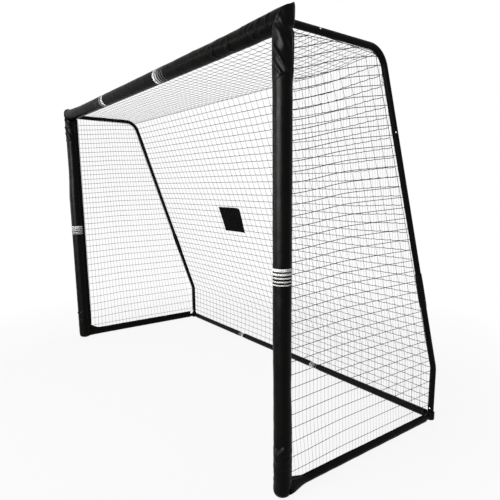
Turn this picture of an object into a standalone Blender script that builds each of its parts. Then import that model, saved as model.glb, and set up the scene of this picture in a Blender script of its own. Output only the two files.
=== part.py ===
"""Garden football goal: padded steel front frame, bare steel rear frame and net.

X runs along the crossbar, the mouth faces -Y and Z is up. It is built with the
post axes at Y zero, and last moved so that the origin lies on the ground in the
middle of its footprint.
"""
import math

import bmesh
import bpy
from mathutils import Matrix, Vector

# Overall sizes in metres
GOAL_WIDTH = 3.0          # outside the padded posts
GOAL_HEIGHT = 2.0         # ground to the top of the padded crossbar
BASE_DEPTH = 1.125        # post axis to rear bar axis
ROOF_DEPTH = 0.563        # post axis to the crossing of the arm and slope lines
KINK_HEIGHT = 0.3185      # where the slope turns into the rear upright

# Clearance between pieces that touch, and a wider one where cloth is held
FIT_GAP = 0.0003
CLOTH_GAP = 0.0005

# Padding round the front frame
PAD_DIAMETER = 0.076
SLEEVE_WALL = 0.0015
FLAP_THICKNESS = 0.003
POST_FLAP = 0.030
POST_FLAP_START = 0.075
FOAM_START = 0.045

# Front frame tubes
FRONT_TUBE = 0.038
FRONT_WALL = 0.0015
POST_JOINT_HEIGHT = 0.98
CROSSBAR_JOINTS = (-0.600, 0.417)
FRONT_LAP = 0.080
CORNER_COLLAR = 0.060

# Arms, slope tubes and rear uprights
ARM_TUBE = 0.030
ARM_WALL = 0.0012
ARM_SEAM = 0.150          # post axis to the end of the bare arm tube
ARM_LAP = 0.085
BEND_RADIUS = 0.110
SLOPE_SEAM_DROP = 0.327    # crossbar axis down to the joint in the slope
SLOPE_LAP = 0.080
UPRIGHT_TUBE = 0.032
UPRIGHT_WALL = 0.0012
UPRIGHT_SEAM_HEIGHT = 0.800
KINK_RADIUS = 0.150
JOINT_SLEEVE_WALL = 0.0021
JOINT_SLEEVE_LENGTH = 0.200
JOINT_SLEEVE_TAPER = 0.060

# Ground bars
BAR_HEIGHT = 0.022        # axis of every ground bar above the ground
SIDE_TUBE = 0.032
SIDE_WALL = 0.0012
SIDE_SLEEVE_DIAMETER = 0.037
SIDE_FLAP = 0.021
SIDE_SLEEVE_START = 0.068
SIDE_SLEEVE_END = 1.079
REAR_TUBE = 0.030
REAR_WALL = 0.0012
REAR_JOINTS = (-0.543, 0.444)
REAR_LAP = 0.060
BAND_LENGTH = 0.075
BAND_WALL = 0.0015

# Front foot and rear corner fittings
FOOT_TOP = 0.100
FOOT_FLOOR = 0.008
FOOT_LEG_END = 0.045
CORNER_HUB_DIAMETER = 0.044
CORNER_HUB_HEIGHT = 0.046
CORNER_SEAT = 0.030
CORNER_LAP = 0.060

# Snap buttons in the arm and slope joints
BUTTON_DIAMETER = 0.007
BUTTON_PROUD = 0.003
BUTTON_HOLE = 0.0094
BUTTON_OFFSET = 0.025     # tube end to the button
LEAF_LENGTH = 0.038       # hinge line to the button
LEAF_TAIL = 0.006
LEAF_WIDTH = 0.009
LEAF_THICKNESS = 0.001
ARM_BUTTON_TILT = math.radians(20)
SLOPE_BUTTON_TILT = math.radians(35)

# Fasteners
BOLT_DIAMETER = 0.006
BOLT_HEAD = 0.012
BOLT_HEAD_HEIGHT = 0.0025
BOLT_HEIGHT = 0.071
BOLT_HOLE = 0.0070
NUT_WIDTH = 0.011
NUT_HEIGHT = 0.005
NUT_SIDES = 6
SCREW_DIAMETER = 0.005
SCREW_HEAD = 0.010
SCREW_PLACE = 0.056       # post axis to the screw in the side bar
SCREW_HOLE = 0.0060

# Bands wrapped round the padding at its joints
PAD_BAND_WALL = 0.0008
PAD_BAND_ARC = math.radians(310)
POST_BAND_LENGTH = 0.084
CROSSBAR_BAND_LENGTHS = (0.193, 0.133)

# Net
CORD = 0.004
HEM = 0.006
COLUMNS_ACROSS = 14
ROOF_ROWS = 3
SLOPE_ROWS = 8
LOWER_ROWS = 2
SIDE_COLUMNS = 5
SIDE_LOWER_ROWS = 2
SIDE_UPPER_ROWS = 8
PATCH_WIDTH = 0.305
PATCH_HEIGHT = 0.197
PATCH_THICKNESS = 0.002
PATCH_CENTRE = -0.255
PATCH_RISE = 0.833        # kink to the middle of the patch, along the slope

# Facets round each kind of tube
BIG_FACETS = 16
TUBE_FACETS = 12
SMALL_FACETS = 10
BALL_STEPS = 7
BEND_STEPS = 6

# Places that follow from the sizes
POST_X = (GOAL_WIDTH - PAD_DIAMETER) / 2
CROSSBAR_Z = GOAL_HEIGHT - PAD_DIAMETER / 2
SLOPE_SEAM_HEIGHT = CROSSBAR_Z - SLOPE_SEAM_DROP
PAD_RADIUS = PAD_DIAMETER / 2
FOAM_RADIUS = PAD_RADIUS - SLEEVE_WALL - 2 * CLOTH_GAP
SLOPE_RUN = Vector((0, BASE_DEPTH - ROOF_DEPTH, KINK_HEIGHT - CROSSBAR_Z))
SLOPE_WAY = SLOPE_RUN.normalized()
SIDES = (("left", -1), ("right", 1))


def joint_sleeve_radius():
    """Outer radius of the sleeve over the lower joint of the slope."""
    return clear_of(UPRIGHT_TUBE / 2, TUBE_FACETS) + JOINT_SLEEVE_WALL


def clear_scene():
    """Start from an empty file."""
    for obj in list(bpy.data.objects):
        bpy.data.objects.remove(obj, do_unlink=True)


def new_collection(name):
    collection = bpy.data.collections.new(name)
    bpy.context.scene.collection.children.link(collection)
    return collection


def new_material(name, colour, roughness, metallic=0.0):
    material = bpy.data.materials.new(name)
    material.use_nodes = True
    shader = material.node_tree.nodes["Principled BSDF"]
    shader.inputs["Base Color"].default_value = (*colour, 1.0)
    shader.inputs["Roughness"].default_value = roughness
    shader.inputs["Metallic"].default_value = metallic
    material.diffuse_color = (*colour, 1.0)
    return material


clear_scene()
GOAL = new_collection("football_goal")
CUTTERS = new_collection("cutters")
STEEL = new_material("powder_coated_steel", (0.010, 0.010, 0.011), 0.38, 0.2)
ZINC = new_material("zinc_plated_steel", (0.55, 0.56, 0.58), 0.30, 1.0)
PLASTIC = new_material("black_nylon", (0.012, 0.012, 0.013), 0.5)
FOAM = new_material("grey_foam", (0.16, 0.16, 0.17), 0.95)
SHEETING = new_material("black_pvc_sheeting", (0.009, 0.009, 0.010), 0.30)
NETTING = new_material("dark_netting", (0.030, 0.030, 0.032), 0.8)
BAND = new_material("light_band", (0.72, 0.72, 0.72), 0.45)


def stub(tube, wall):
    """Diameter that slides into a faceted tube, clear of its flats."""
    return (tube - 2 * wall) * math.cos(math.pi / TUBE_FACETS) - 2 * FIT_GAP


def clear_of(radius, facets, gap=FIT_GAP):
    """Corner radius of a faceted bore whose flats clear a round piece."""
    return (radius + gap) / math.cos(math.pi / facets)


def along(direction, origin, up=(0, 0, 1)):
    """Matrix that stands local Z on a direction, with local X nearest to up."""
    z_axis = Vector(direction).normalized()
    guide = Vector(up)
    if abs(z_axis.dot(guide)) > 0.999:
        guide = Vector((1, 0, 0))
    x_axis = (guide - z_axis * z_axis.dot(guide)).normalized()
    y_axis = z_axis.cross(x_axis)
    matrix = Matrix((x_axis, y_axis, z_axis)).transposed().to_4x4()
    matrix.translation = Vector(origin)
    return matrix


def add_object(name, data, material, matrix=Matrix(), collection=None):
    obj = bpy.data.objects.new(name, data)
    (collection or GOAL).objects.link(obj)
    if material:
        data.materials.append(material)
    obj.matrix_world = matrix
    return obj


def smooth(mesh, angle=40):
    mesh.shade_smooth()
    mesh.set_sharp_from_angle(angle=math.radians(angle))


def to_mesh(obj, material):
    """Replace a curve, or an object with modifiers, by its welded mesh."""
    graph = bpy.context.evaluated_depsgraph_get()
    mesh = bpy.data.meshes.new_from_object(obj.evaluated_get(graph), depsgraph=graph)
    work = bmesh.new()
    work.from_mesh(mesh)
    bmesh.ops.remove_doubles(work, verts=work.verts, dist=0.00001)
    work.to_mesh(mesh)
    work.free()
    mesh.materials.clear()
    name = obj.name
    matrix = obj.matrix_world.copy()
    collection = obj.users_collection[0]
    bpy.data.objects.remove(obj, do_unlink=True)
    smooth(mesh)
    return add_object(name, mesh, material, matrix, collection)


def turned(name, profile, material, matrix=Matrix(), facets=TUBE_FACETS, collection=None):
    """Turn a closed profile of (radius, height) points round local Z.

    The points run down the outer side and, for a hollow piece, up the bore."""
    mesh = bpy.data.meshes.new(name)
    work = bmesh.new()
    points = [work.verts.new((radius, 0, height)) for radius, height in profile]
    hollow = profile[0][0] > 0
    pairs = list(zip(points, points[1:]))
    if hollow:
        pairs.append((points[-1], points[0]))
    for first, second in pairs:
        work.edges.new((first, second))
    work.to_mesh(mesh)
    work.free()
    obj = add_object(name, mesh, material, matrix, collection)
    screw = obj.modifiers.new("turn", "SCREW")
    screw.steps = facets
    screw.render_steps = facets
    screw.use_merge_vertices = True
    screw.merge_threshold = 0.00001
    return to_mesh(obj, material)


def tube_profile(length, outer, wall, start_lap=0.0, end_lap=0.0):
    """Profile of a straight tube, swaged down at an end that has a lap."""
    radius = outer / 2
    bore = radius - wall
    neck = stub(outer, wall) / 2
    neck_bore = neck - wall
    step = 2 * wall
    outside = [(radius, length), (radius, 0.0)]
    inside = [(bore, 0.0), (bore, length)]
    if end_lap:
        outside = [(neck, length + end_lap), (neck, length), (radius, length), (radius, 0.0)]
        inside = [(bore, 0.0), (bore, length - step), (neck_bore, length - step),
                  (neck_bore, length + end_lap)]
    if start_lap:
        outside = outside[:-1] + [(radius, 0.0), (neck, 0.0), (neck, -start_lap)]
        inside = [(neck_bore, -start_lap), (neck_bore, step), (bore, step)] + inside[1:]
    return outside + inside


def straight_tube(name, start, end, outer, wall, start_lap=0.0, end_lap=0.0, facets=TUBE_FACETS):
    """Steel tube between two points, with a swaged neck beyond an end with a lap."""
    run = Vector(end) - Vector(start)
    profile = tube_profile(run.length, outer, wall, start_lap, end_lap)
    return turned(name, profile, STEEL, along(run, start), facets)


def bent_tube(name, points, outer, wall, neck_points=()):
    """Hollow steel tube along a line of points, swaged down along the neck's points."""
    curve = bpy.data.curves.new(name, "CURVE")
    curve.dimensions = "3D"
    curve.bevel_depth = outer / 2
    curve.bevel_resolution = TUBE_FACETS // 2 - 2
    spline = curve.splines.new("POLY")
    spline.points.add(len(points) + len(neck_points) - 1)
    for place, point in zip(spline.points, [*points, *neck_points]):
        place.co = (*point, 1.0)
    for place in list(spline.points)[len(points):]:
        place.radius = stub(outer, wall) / outer
    obj = add_object(name, curve, STEEL)
    obj = to_mesh(obj, STEEL)
    shell = obj.modifiers.new("wall", "SOLIDIFY")
    shell.thickness = wall
    shell.offset = -1
    shell.use_even_offset = True
    return to_mesh(obj, STEEL)


def fillet(start, corner, end, radius, steps):
    """Points from start to end, with an arc of a radius at the corner."""
    start, corner, end = Vector(start), Vector(corner), Vector(end)
    way_in = (corner - start).normalized()
    way_out = (end - corner).normalized()
    turn = way_in.angle(way_out)
    reach = radius * math.tan(turn / 2)
    centre = corner - way_in * reach + (way_out - way_in * way_out.dot(way_in)).normalized() * radius
    axis = way_in.cross(way_out).normalized()
    arm = corner - way_in * reach - centre
    arc = [centre + Matrix.Rotation(turn * step / steps, 3, axis) @ arm for step in range(steps + 1)]
    return [start] + arc + [end]


def flat_plate(name, outlines, thickness, material, matrix=Matrix()):
    """Flat piece from closed outlines, the first outside and the rest holes."""
    curve = bpy.data.curves.new(name, "CURVE")
    curve.dimensions = "2D"
    curve.fill_mode = "BOTH"
    curve.extrude = thickness / 2
    for outline in outlines:
        spline = curve.splines.new("POLY")
        spline.points.add(len(outline) - 1)
        for place, point in zip(spline.points, outline):
            place.co = (point[0], point[1], 0.0, 1.0)
        spline.use_cyclic_u = True
    obj = add_object(name, curve, material, matrix)
    return to_mesh(obj, material)


def ring(radius, facets, start=0.0, sweep=2 * math.pi):
    """Points on a circle, or on an arc when the sweep is less than a turn."""
    full = sweep >= 2 * math.pi
    steps = facets if full else facets - 1
    angles = [start + sweep * step / steps for step in range(facets)]
    return [(radius * math.cos(angle), radius * math.sin(angle)) for angle in angles]


def modify(obj, tool, operation, material):
    """Apply one Boolean and discard its tool."""
    boolean = obj.modifiers.new("boolean", "BOOLEAN")
    boolean.operation = operation
    boolean.object = tool
    boolean.solver = "EXACT"
    result = to_mesh(obj, material)
    bpy.data.objects.remove(tool, do_unlink=True)
    return result


def cut(obj, tool, material):
    return modify(obj, tool, "DIFFERENCE", material)


def join(obj, tool, material):
    return modify(obj, tool, "UNION", material)


def hide_cutter(obj):
    obj.hide_render = True
    obj.display_type = "WIRE"
    return obj


def rod_cutter(start, end, diameter, facets=TUBE_FACETS):
    """Solid cylinder between two points, for a bore."""
    run = Vector(end) - Vector(start)
    profile = [(0, run.length), (diameter / 2, run.length), (diameter / 2, 0), (0, 0)]
    return hide_cutter(turned("cutter", profile, None, along(run, start), facets, CUTTERS))


def box_cutter(low, high, matrix=Matrix()):
    """Box between two corners, turned by a matrix."""
    mesh = bpy.data.meshes.new("cutter")
    work = bmesh.new()
    low, high = Vector(low), Vector(high)
    bmesh.ops.create_cube(work, size=1.0)
    bmesh.ops.scale(work, vec=high - low, verts=work.verts)
    bmesh.ops.translate(work, vec=(low + high) / 2, verts=work.verts)
    work.to_mesh(mesh)
    work.free()
    return hide_cutter(add_object("cutter", mesh, None, matrix, CUTTERS))


def leg(name, start, end, outer, lap, neck, facets=TUBE_FACETS, material=None):
    """Solid arm of a fitting: a seat, then a neck that plugs into a tube."""
    run = Vector(end) - Vector(start)
    length = run.length
    profile = [(0, length + lap), (neck / 2, length + lap), (neck / 2, length),
               (outer / 2, length), (outer / 2, 0), (0, 0)]
    return turned(name, profile, material or STEEL, along(run, start), facets)


def build_posts():
    """Each post is two tubes, the upper one swaged into the lower one."""
    for side, sign in SIDES:
        x = sign * POST_X
        seat = POST_JOINT_HEIGHT
        straight_tube("post_lower_" + side, (x, 0, FOOT_TOP + FIT_GAP), (x, 0, seat - FIT_GAP),
                      FRONT_TUBE, FRONT_WALL, facets=BIG_FACETS)
        straight_tube("post_upper_" + side, (x, 0, seat), (x, 0, CROSSBAR_Z - CORNER_COLLAR - FIT_GAP),
                      FRONT_TUBE, FRONT_WALL, start_lap=FRONT_LAP, facets=BIG_FACETS)


def build_crossbar():
    """Three tubes, the outer two swaged into the middle one."""
    left, right = CROSSBAR_JOINTS
    end = POST_X - CORNER_COLLAR - FIT_GAP
    straight_tube("crossbar_tube_left", (-end, 0, CROSSBAR_Z), (left, 0, CROSSBAR_Z),
                  FRONT_TUBE, FRONT_WALL, end_lap=FRONT_LAP, facets=BIG_FACETS)
    straight_tube("crossbar_tube_middle", (left + FIT_GAP, 0, CROSSBAR_Z), (right - FIT_GAP, 0, CROSSBAR_Z),
                  FRONT_TUBE, FRONT_WALL, facets=BIG_FACETS)
    straight_tube("crossbar_tube_right", (end, 0, CROSSBAR_Z), (right, 0, CROSSBAR_Z),
                  FRONT_TUBE, FRONT_WALL, end_lap=FRONT_LAP, facets=BIG_FACETS)


def arm_button_frame(sign):
    """Way of the arm tube, way of its button and the point on the axis below it."""
    axis = Vector((0, 1, 0))
    way = Vector((sign * math.cos(ARM_BUTTON_TILT), 0, math.sin(ARM_BUTTON_TILT)))
    foot = Vector((sign * POST_X, ARM_SEAM + BUTTON_OFFSET, CROSSBAR_Z))
    return axis, way, foot


def slope_point(x, height):
    """Point on the slope tube's axis at a height."""
    share = (CROSSBAR_Z - height) / (CROSSBAR_Z - KINK_HEIGHT)
    return Vector((x, ROOF_DEPTH + share * (BASE_DEPTH - ROOF_DEPTH), height))


def slope_button_frame(sign):
    """The same three vectors for the joint in the slope."""
    outward = Vector((sign, 0, 0))
    forward = Vector((0, SLOPE_WAY.z, -SLOPE_WAY.y))
    way = outward * math.cos(SLOPE_BUTTON_TILT) + forward * math.sin(SLOPE_BUTTON_TILT)
    foot = slope_point(sign * POST_X, SLOPE_SEAM_HEIGHT) + SLOPE_WAY * (BUTTON_OFFSET + FIT_GAP)
    return SLOPE_WAY, way, foot


def button_hole(obj, frame, reach, material=None):
    """Drill one wall of a tube where a snap button passes."""
    axis, way, foot = frame
    tool = rod_cutter(foot + way * reach * 0.2, foot + way * reach, BUTTON_HOLE, SMALL_FACETS)
    return cut(obj, tool, material or STEEL)


def build_top_corners():
    """Three-way fitting: a neck for the crossbar, one for the post, one for the arm."""
    neck = stub(FRONT_TUBE, FRONT_WALL)
    arm_neck = stub(ARM_TUBE, ARM_WALL)
    bore = neck - 2 * FRONT_WALL
    arm_bore = arm_neck - 2 * FRONT_WALL
    far = CORNER_COLLAR + FRONT_LAP + 0.01
    for side, sign in SIDES:
        hub = Vector((sign * POST_X, 0, CROSSBAR_Z))
        inward = Vector((-sign, 0, 0))
        down = Vector((0, 0, -1))
        back = Vector((0, 1, 0))
        name = "corner_top_" + side
        body = leg(name, hub, hub + inward * CORNER_COLLAR, FRONT_TUBE, FRONT_LAP, neck, BIG_FACETS)
        post_leg = leg("leg", hub, hub + down * CORNER_COLLAR, FRONT_TUBE, FRONT_LAP, neck, BIG_FACETS)
        body = join(body, post_leg, STEEL)
        arm_leg = leg("leg", hub, hub + back * (ARM_SEAM - FIT_GAP), ARM_TUBE, ARM_LAP, arm_neck)
        body = join(body, arm_leg, STEEL)
        ball_radius = FRONT_TUBE / 2 - FIT_GAP
        ball = [(ball_radius * math.sin(math.pi * step / BALL_STEPS),
                 ball_radius * math.cos(math.pi * step / BALL_STEPS)) for step in range(1, BALL_STEPS)]
        ball = [(0, ball_radius), *ball, (0, -ball_radius)]
        elbow = turned("elbow", ball, STEEL, Matrix.Translation(hub), BIG_FACETS)
        body = join(body, elbow, STEEL)
        start = FRONT_TUBE * 0.7
        body = cut(body, rod_cutter(hub + inward * start, hub + inward * far, bore, BIG_FACETS), STEEL)
        body = cut(body, rod_cutter(hub + down * start, hub + down * far, bore, BIG_FACETS), STEEL)
        arm_end = ARM_SEAM + ARM_LAP + 0.01
        body = cut(body, rod_cutter(hub + back * start, hub + back * arm_end, arm_bore), STEEL)
        button_hole(body, arm_button_frame(sign), ARM_TUBE)


def build_feet():
    """Foot fitting: closed at the ground, a neck for the post and one for the side bar."""
    neck = stub(FRONT_TUBE, FRONT_WALL)
    bar_neck = stub(SIDE_TUBE, SIDE_WALL)
    for side, sign in SIDES:
        x = sign * POST_X
        base = Vector((x, 0, 0))
        axis = Vector((x, 0, BAR_HEIGHT))
        back = Vector((0, 1, 0))
        body = leg("foot_elbow_" + side, base, base + Vector((0, 0, FOOT_TOP)),
                   FRONT_TUBE, FRONT_LAP, neck, BIG_FACETS)
        bar_leg = leg("leg", axis, axis + back * (FOOT_LEG_END - FIT_GAP), SIDE_TUBE, FRONT_LAP, bar_neck)
        body = join(body, bar_leg, STEEL)
        top = Vector((x, 0, FOOT_TOP + FRONT_LAP + 0.01))
        body = cut(body, rod_cutter((x, 0, FOOT_FLOOR), top, neck - 2 * FRONT_WALL, BIG_FACETS), STEEL)
        rear_end = axis + back * (FOOT_LEG_END + FRONT_LAP + 0.01)
        body = cut(body, rod_cutter(axis, rear_end, bar_neck - 2 * SIDE_WALL), STEEL)
        hole = rod_cutter((x, SCREW_PLACE, BAR_HEIGHT), (x, SCREW_PLACE, BAR_HEIGHT + SIDE_TUBE),
                          SCREW_HOLE, SMALL_FACETS)
        cut(body, hole, STEEL)


def build_side_frames():
    """Bent roof arm swaged into the slope tube, joint sleeve and rear upright."""
    seam = SLOPE_SEAM_HEIGHT
    lower = UPRIGHT_SEAM_HEIGHT
    for side, sign in SIDES:
        x = sign * POST_X
        start = Vector((x, ARM_SEAM, CROSSBAR_Z))
        corner = Vector((x, ROOF_DEPTH, CROSSBAR_Z))
        points = fillet(start, corner, slope_point(x, seam), BEND_RADIUS, BEND_STEPS)
        neck = [slope_point(x, seam) + SLOPE_WAY * reach for reach in (FIT_GAP, SLOPE_LAP)]
        arm = bent_tube("roof_arm_" + side, points, ARM_TUBE, ARM_WALL, neck)
        arm = button_hole(arm, arm_button_frame(sign), ARM_TUBE)
        button_hole(arm, slope_button_frame(sign), ARM_TUBE)

        joint = slope_point(x, seam)
        slope = straight_tube("slope_tube_" + side, joint + SLOPE_WAY * 2 * FIT_GAP,
                              slope_point(x, lower) - SLOPE_WAY * FIT_GAP, ARM_TUBE, ARM_WALL)
        button_hole(slope, slope_button_frame(sign), ARM_TUBE)

        kink = Vector((x, BASE_DEPTH, KINK_HEIGHT))
        foot = Vector((x, BASE_DEPTH, CORNER_HUB_HEIGHT + FIT_GAP))
        points = fillet(slope_point(x, lower), kink, foot, KINK_RADIUS, BEND_STEPS // 2)
        upright = bent_tube("rear_upright_" + side, points, UPRIGHT_TUBE, UPRIGHT_WALL)
        bolt_line = rod_cutter((x, BASE_DEPTH - UPRIGHT_TUBE, BOLT_HEIGHT),
                               (x, BASE_DEPTH + UPRIGHT_TUBE, BOLT_HEIGHT), BOLT_HOLE, SMALL_FACETS)
        cut(upright, bolt_line, STEEL)

        half = JOINT_SLEEVE_LENGTH / 2
        top_bore = clear_of(ARM_TUBE / 2, TUBE_FACETS)
        low_bore = clear_of(UPRIGHT_TUBE / 2, TUBE_FACETS)
        lip = low_bore + SLEEVE_WALL
        swell = joint_sleeve_radius()
        profile = [(lip, half), (swell, half - JOINT_SLEEVE_TAPER), (swell, -half + JOINT_SLEEVE_TAPER),
                   (lip, -half), (top_bore, -half), (top_bore, -FIT_GAP), (low_bore, -FIT_GAP),
                   (low_bore, half)]
        turned("slope_joint_sleeve_" + side, profile, PLASTIC, along(SLOPE_WAY, slope_point(x, lower)))


def build_ground_bars():
    """Side bars, rear corner fittings and the rear bar in three lengths."""
    side_neck = stub(SIDE_TUBE, SIDE_WALL)
    upright_neck = stub(UPRIGHT_TUBE, UPRIGHT_WALL)
    rear_neck = stub(REAR_TUBE, REAR_WALL)
    rear_end = BASE_DEPTH - CORNER_SEAT
    for side, sign in SIDES:
        x = sign * POST_X
        bar = straight_tube("side_bar_" + side, (x, FOOT_LEG_END, BAR_HEIGHT),
                            (x, rear_end - FIT_GAP, BAR_HEIGHT), SIDE_TUBE, SIDE_WALL)
        hole = rod_cutter((x, SCREW_PLACE, BAR_HEIGHT), (x, SCREW_PLACE, BAR_HEIGHT + SIDE_TUBE),
                          SCREW_HOLE, SMALL_FACETS)
        cut(bar, hole, STEEL)

        base = Vector((x, BASE_DEPTH, 0))
        axis = Vector((x, BASE_DEPTH, BAR_HEIGHT))
        body = leg("corner_rear_" + side, base, base + Vector((0, 0, CORNER_HUB_HEIGHT)),
                   CORNER_HUB_DIAMETER, CORNER_LAP, upright_neck, BIG_FACETS, PLASTIC)
        front_leg = leg("leg", axis, axis - Vector((0, CORNER_SEAT, 0)), SIDE_TUBE, CORNER_LAP, side_neck,
                        material=PLASTIC)
        body = join(body, front_leg, PLASTIC)
        cross_leg = leg("leg", axis, axis - Vector((sign * CORNER_SEAT, 0, 0)), REAR_TUBE, REAR_LAP,
                        rear_neck, material=PLASTIC)
        body = join(body, cross_leg, PLASTIC)
        bolt_line = rod_cutter((x, BASE_DEPTH - UPRIGHT_TUBE, BOLT_HEIGHT),
                               (x, BASE_DEPTH + UPRIGHT_TUBE, BOLT_HEIGHT), BOLT_HOLE, SMALL_FACETS)
        cut(body, bolt_line, PLASTIC)

    left, right = REAR_JOINTS
    end = POST_X - CORNER_SEAT - FIT_GAP
    level = (BASE_DEPTH, BAR_HEIGHT)
    straight_tube("rear_bar_left", (-end, *level), (left, *level), REAR_TUBE, REAR_WALL, end_lap=REAR_LAP)
    straight_tube("rear_bar_middle", (left + FIT_GAP, *level), (right - FIT_GAP, *level),
                  REAR_TUBE, REAR_WALL)
    straight_tube("rear_bar_right", (end, *level), (right, *level), REAR_TUBE, REAR_WALL, end_lap=REAR_LAP)
    bore = clear_of(REAR_TUBE / 2, TUBE_FACETS)
    for name, joint in zip(("left", "right"), REAR_JOINTS):
        half = BAND_LENGTH / 2
        profile = [(bore + BAND_WALL, half), (bore + BAND_WALL, -half), (bore, -half), (bore, half)]
        turned("rear_bar_band_" + name, profile, BAND, along((1, 0, 0), (joint, *level)))


def sleeve_outline(radius, flap, facets):
    """Round sleeve whose two edges close in a flat flap, pointing along +Y."""
    half = FLAP_THICKNESS / 2
    gap = math.asin(half / radius)
    arc = ring(radius, facets, math.pi / 2 + gap, 2 * math.pi - 2 * gap)
    return arc + [(half, radius + flap), (-half, radius + flap)]


def mitre_cutter(sign, keep_post):
    """Half space on the other side of the corner's mitre plane."""
    corner = Vector((sign * POST_X, 0, CROSSBAR_Z))
    side = -1 if keep_post else 1
    across = Vector((-sign, 0, 1)).normalized() * -side
    matrix = along(across, corner - across * FIT_GAP / 2, (0, 1, 0))
    return box_cutter((-0.2, -0.4, 0), (0.2, 0.4, 0.4), matrix)


def arm_hole_cutter(x):
    """Bore through the rear of the padding where the arm leaves the corner."""
    start = (x, 0.2 * PAD_RADIUS, CROSSBAR_Z)
    end = (x, 3 * PAD_RADIUS, CROSSBAR_Z)
    return rod_cutter(start, end, ARM_TUBE + 4 * CLOTH_GAP)


def build_padding():
    """Foam tubes and sheeting sleeves of the front frame, mitred at the top corners."""
    foam_bore = clear_of(FRONT_TUBE / 2, BIG_FACETS)
    inner = PAD_RADIUS - SLEEVE_WALL
    outline = sleeve_outline(PAD_RADIUS, POST_FLAP, BIG_FACETS + 4)
    hole = ring(inner, BIG_FACETS + 4)
    foam_rings = [ring(FOAM_RADIUS, BIG_FACETS), ring(foam_bore, BIG_FACETS)]

    for side, sign in SIDES:
        x = sign * POST_X
        for name, outlines, start, material in (
                ("foam_post_" + side, foam_rings, FOAM_START, FOAM),
                ("sleeve_post_" + side, [outline, hole], 0.0, SHEETING)):
            height = GOAL_HEIGHT - start
            place = Matrix.Translation((x, 0, start + height / 2))
            obj = flat_plate(name, outlines, height, material, place)
            obj = cut(obj, mitre_cutter(sign, True), material)
            obj = cut(obj, arm_hole_cutter(x), material)
            if material == SHEETING:
                width = SIDE_TUBE / 2 + 2 * CLOTH_GAP
                leg_slot = box_cutter((x - width, 0, -0.01), (x + width, 2 * PAD_RADIUS, BAR_HEIGHT + width))
                obj = cut(obj, leg_slot, material)
                flap_end = box_cutter((x - width, PAD_RADIUS - SLEEVE_WALL / 2, -0.02),
                                      (x + width, 3 * PAD_RADIUS, POST_FLAP_START))
                cut(obj, flap_end, material)

    facing = Matrix(((0, 0, 1), (0, 1, 0), (-1, 0, 0))).to_4x4()
    facing.translation = (0, 0, CROSSBAR_Z)
    for name, outlines, material in (
            ("foam_crossbar", foam_rings, FOAM),
            ("sleeve_crossbar", [outline, hole], SHEETING)):
        obj = flat_plate(name, outlines, GOAL_WIDTH, material, facing)
        for sign in (-1, 1):
            x = sign * POST_X
            obj = cut(obj, mitre_cutter(sign, False), material)
            obj = cut(obj, arm_hole_cutter(x), material)


def build_side_sleeves():
    """Sleeves of the side bars, their flaps standing up to hold the net."""
    radius = SIDE_SLEEVE_DIAMETER / 2
    outline = sleeve_outline(radius, SIDE_FLAP, TUBE_FACETS)
    hole = ring(clear_of(SIDE_TUBE / 2, TUBE_FACETS), TUBE_FACETS)
    length = SIDE_SLEEVE_END - SIDE_SLEEVE_START
    for side, sign in SIDES:
        standing = Matrix(((1, 0, 0), (0, 0, -1), (0, 1, 0))).to_4x4()
        standing.translation = (sign * POST_X, SIDE_SLEEVE_START + length / 2, BAR_HEIGHT)
        flat_plate("sleeve_side_bar_" + side, [outline, hole], length, SHEETING, standing)


def build_pad_bands():
    """Open rings round the sleeves at the joints, which stop short of the flap."""
    radius = clear_of(PAD_RADIUS, BIG_FACETS)
    start = math.pi / 2 + (2 * math.pi - PAD_BAND_ARC) / 2
    outside = ring(radius + PAD_BAND_WALL, BIG_FACETS, start, PAD_BAND_ARC)
    outline = outside + ring(radius, BIG_FACETS, start, PAD_BAND_ARC)[::-1]
    for side, sign in SIDES:
        place = Matrix.Translation((sign * POST_X, 0, POST_JOINT_HEIGHT))
        flat_plate("post_band_" + side, [outline], POST_BAND_LENGTH, BAND, place)
    facing = Matrix(((0, 0, 1), (0, 1, 0), (-1, 0, 0))).to_4x4()
    for name, joint, length in zip(("left", "right"), CROSSBAR_JOINTS, CROSSBAR_BAND_LENGTHS):
        facing.translation = (joint, 0, CROSSBAR_Z)
        flat_plate("crossbar_band_" + name, [outline], length, BAND, facing)


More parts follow.
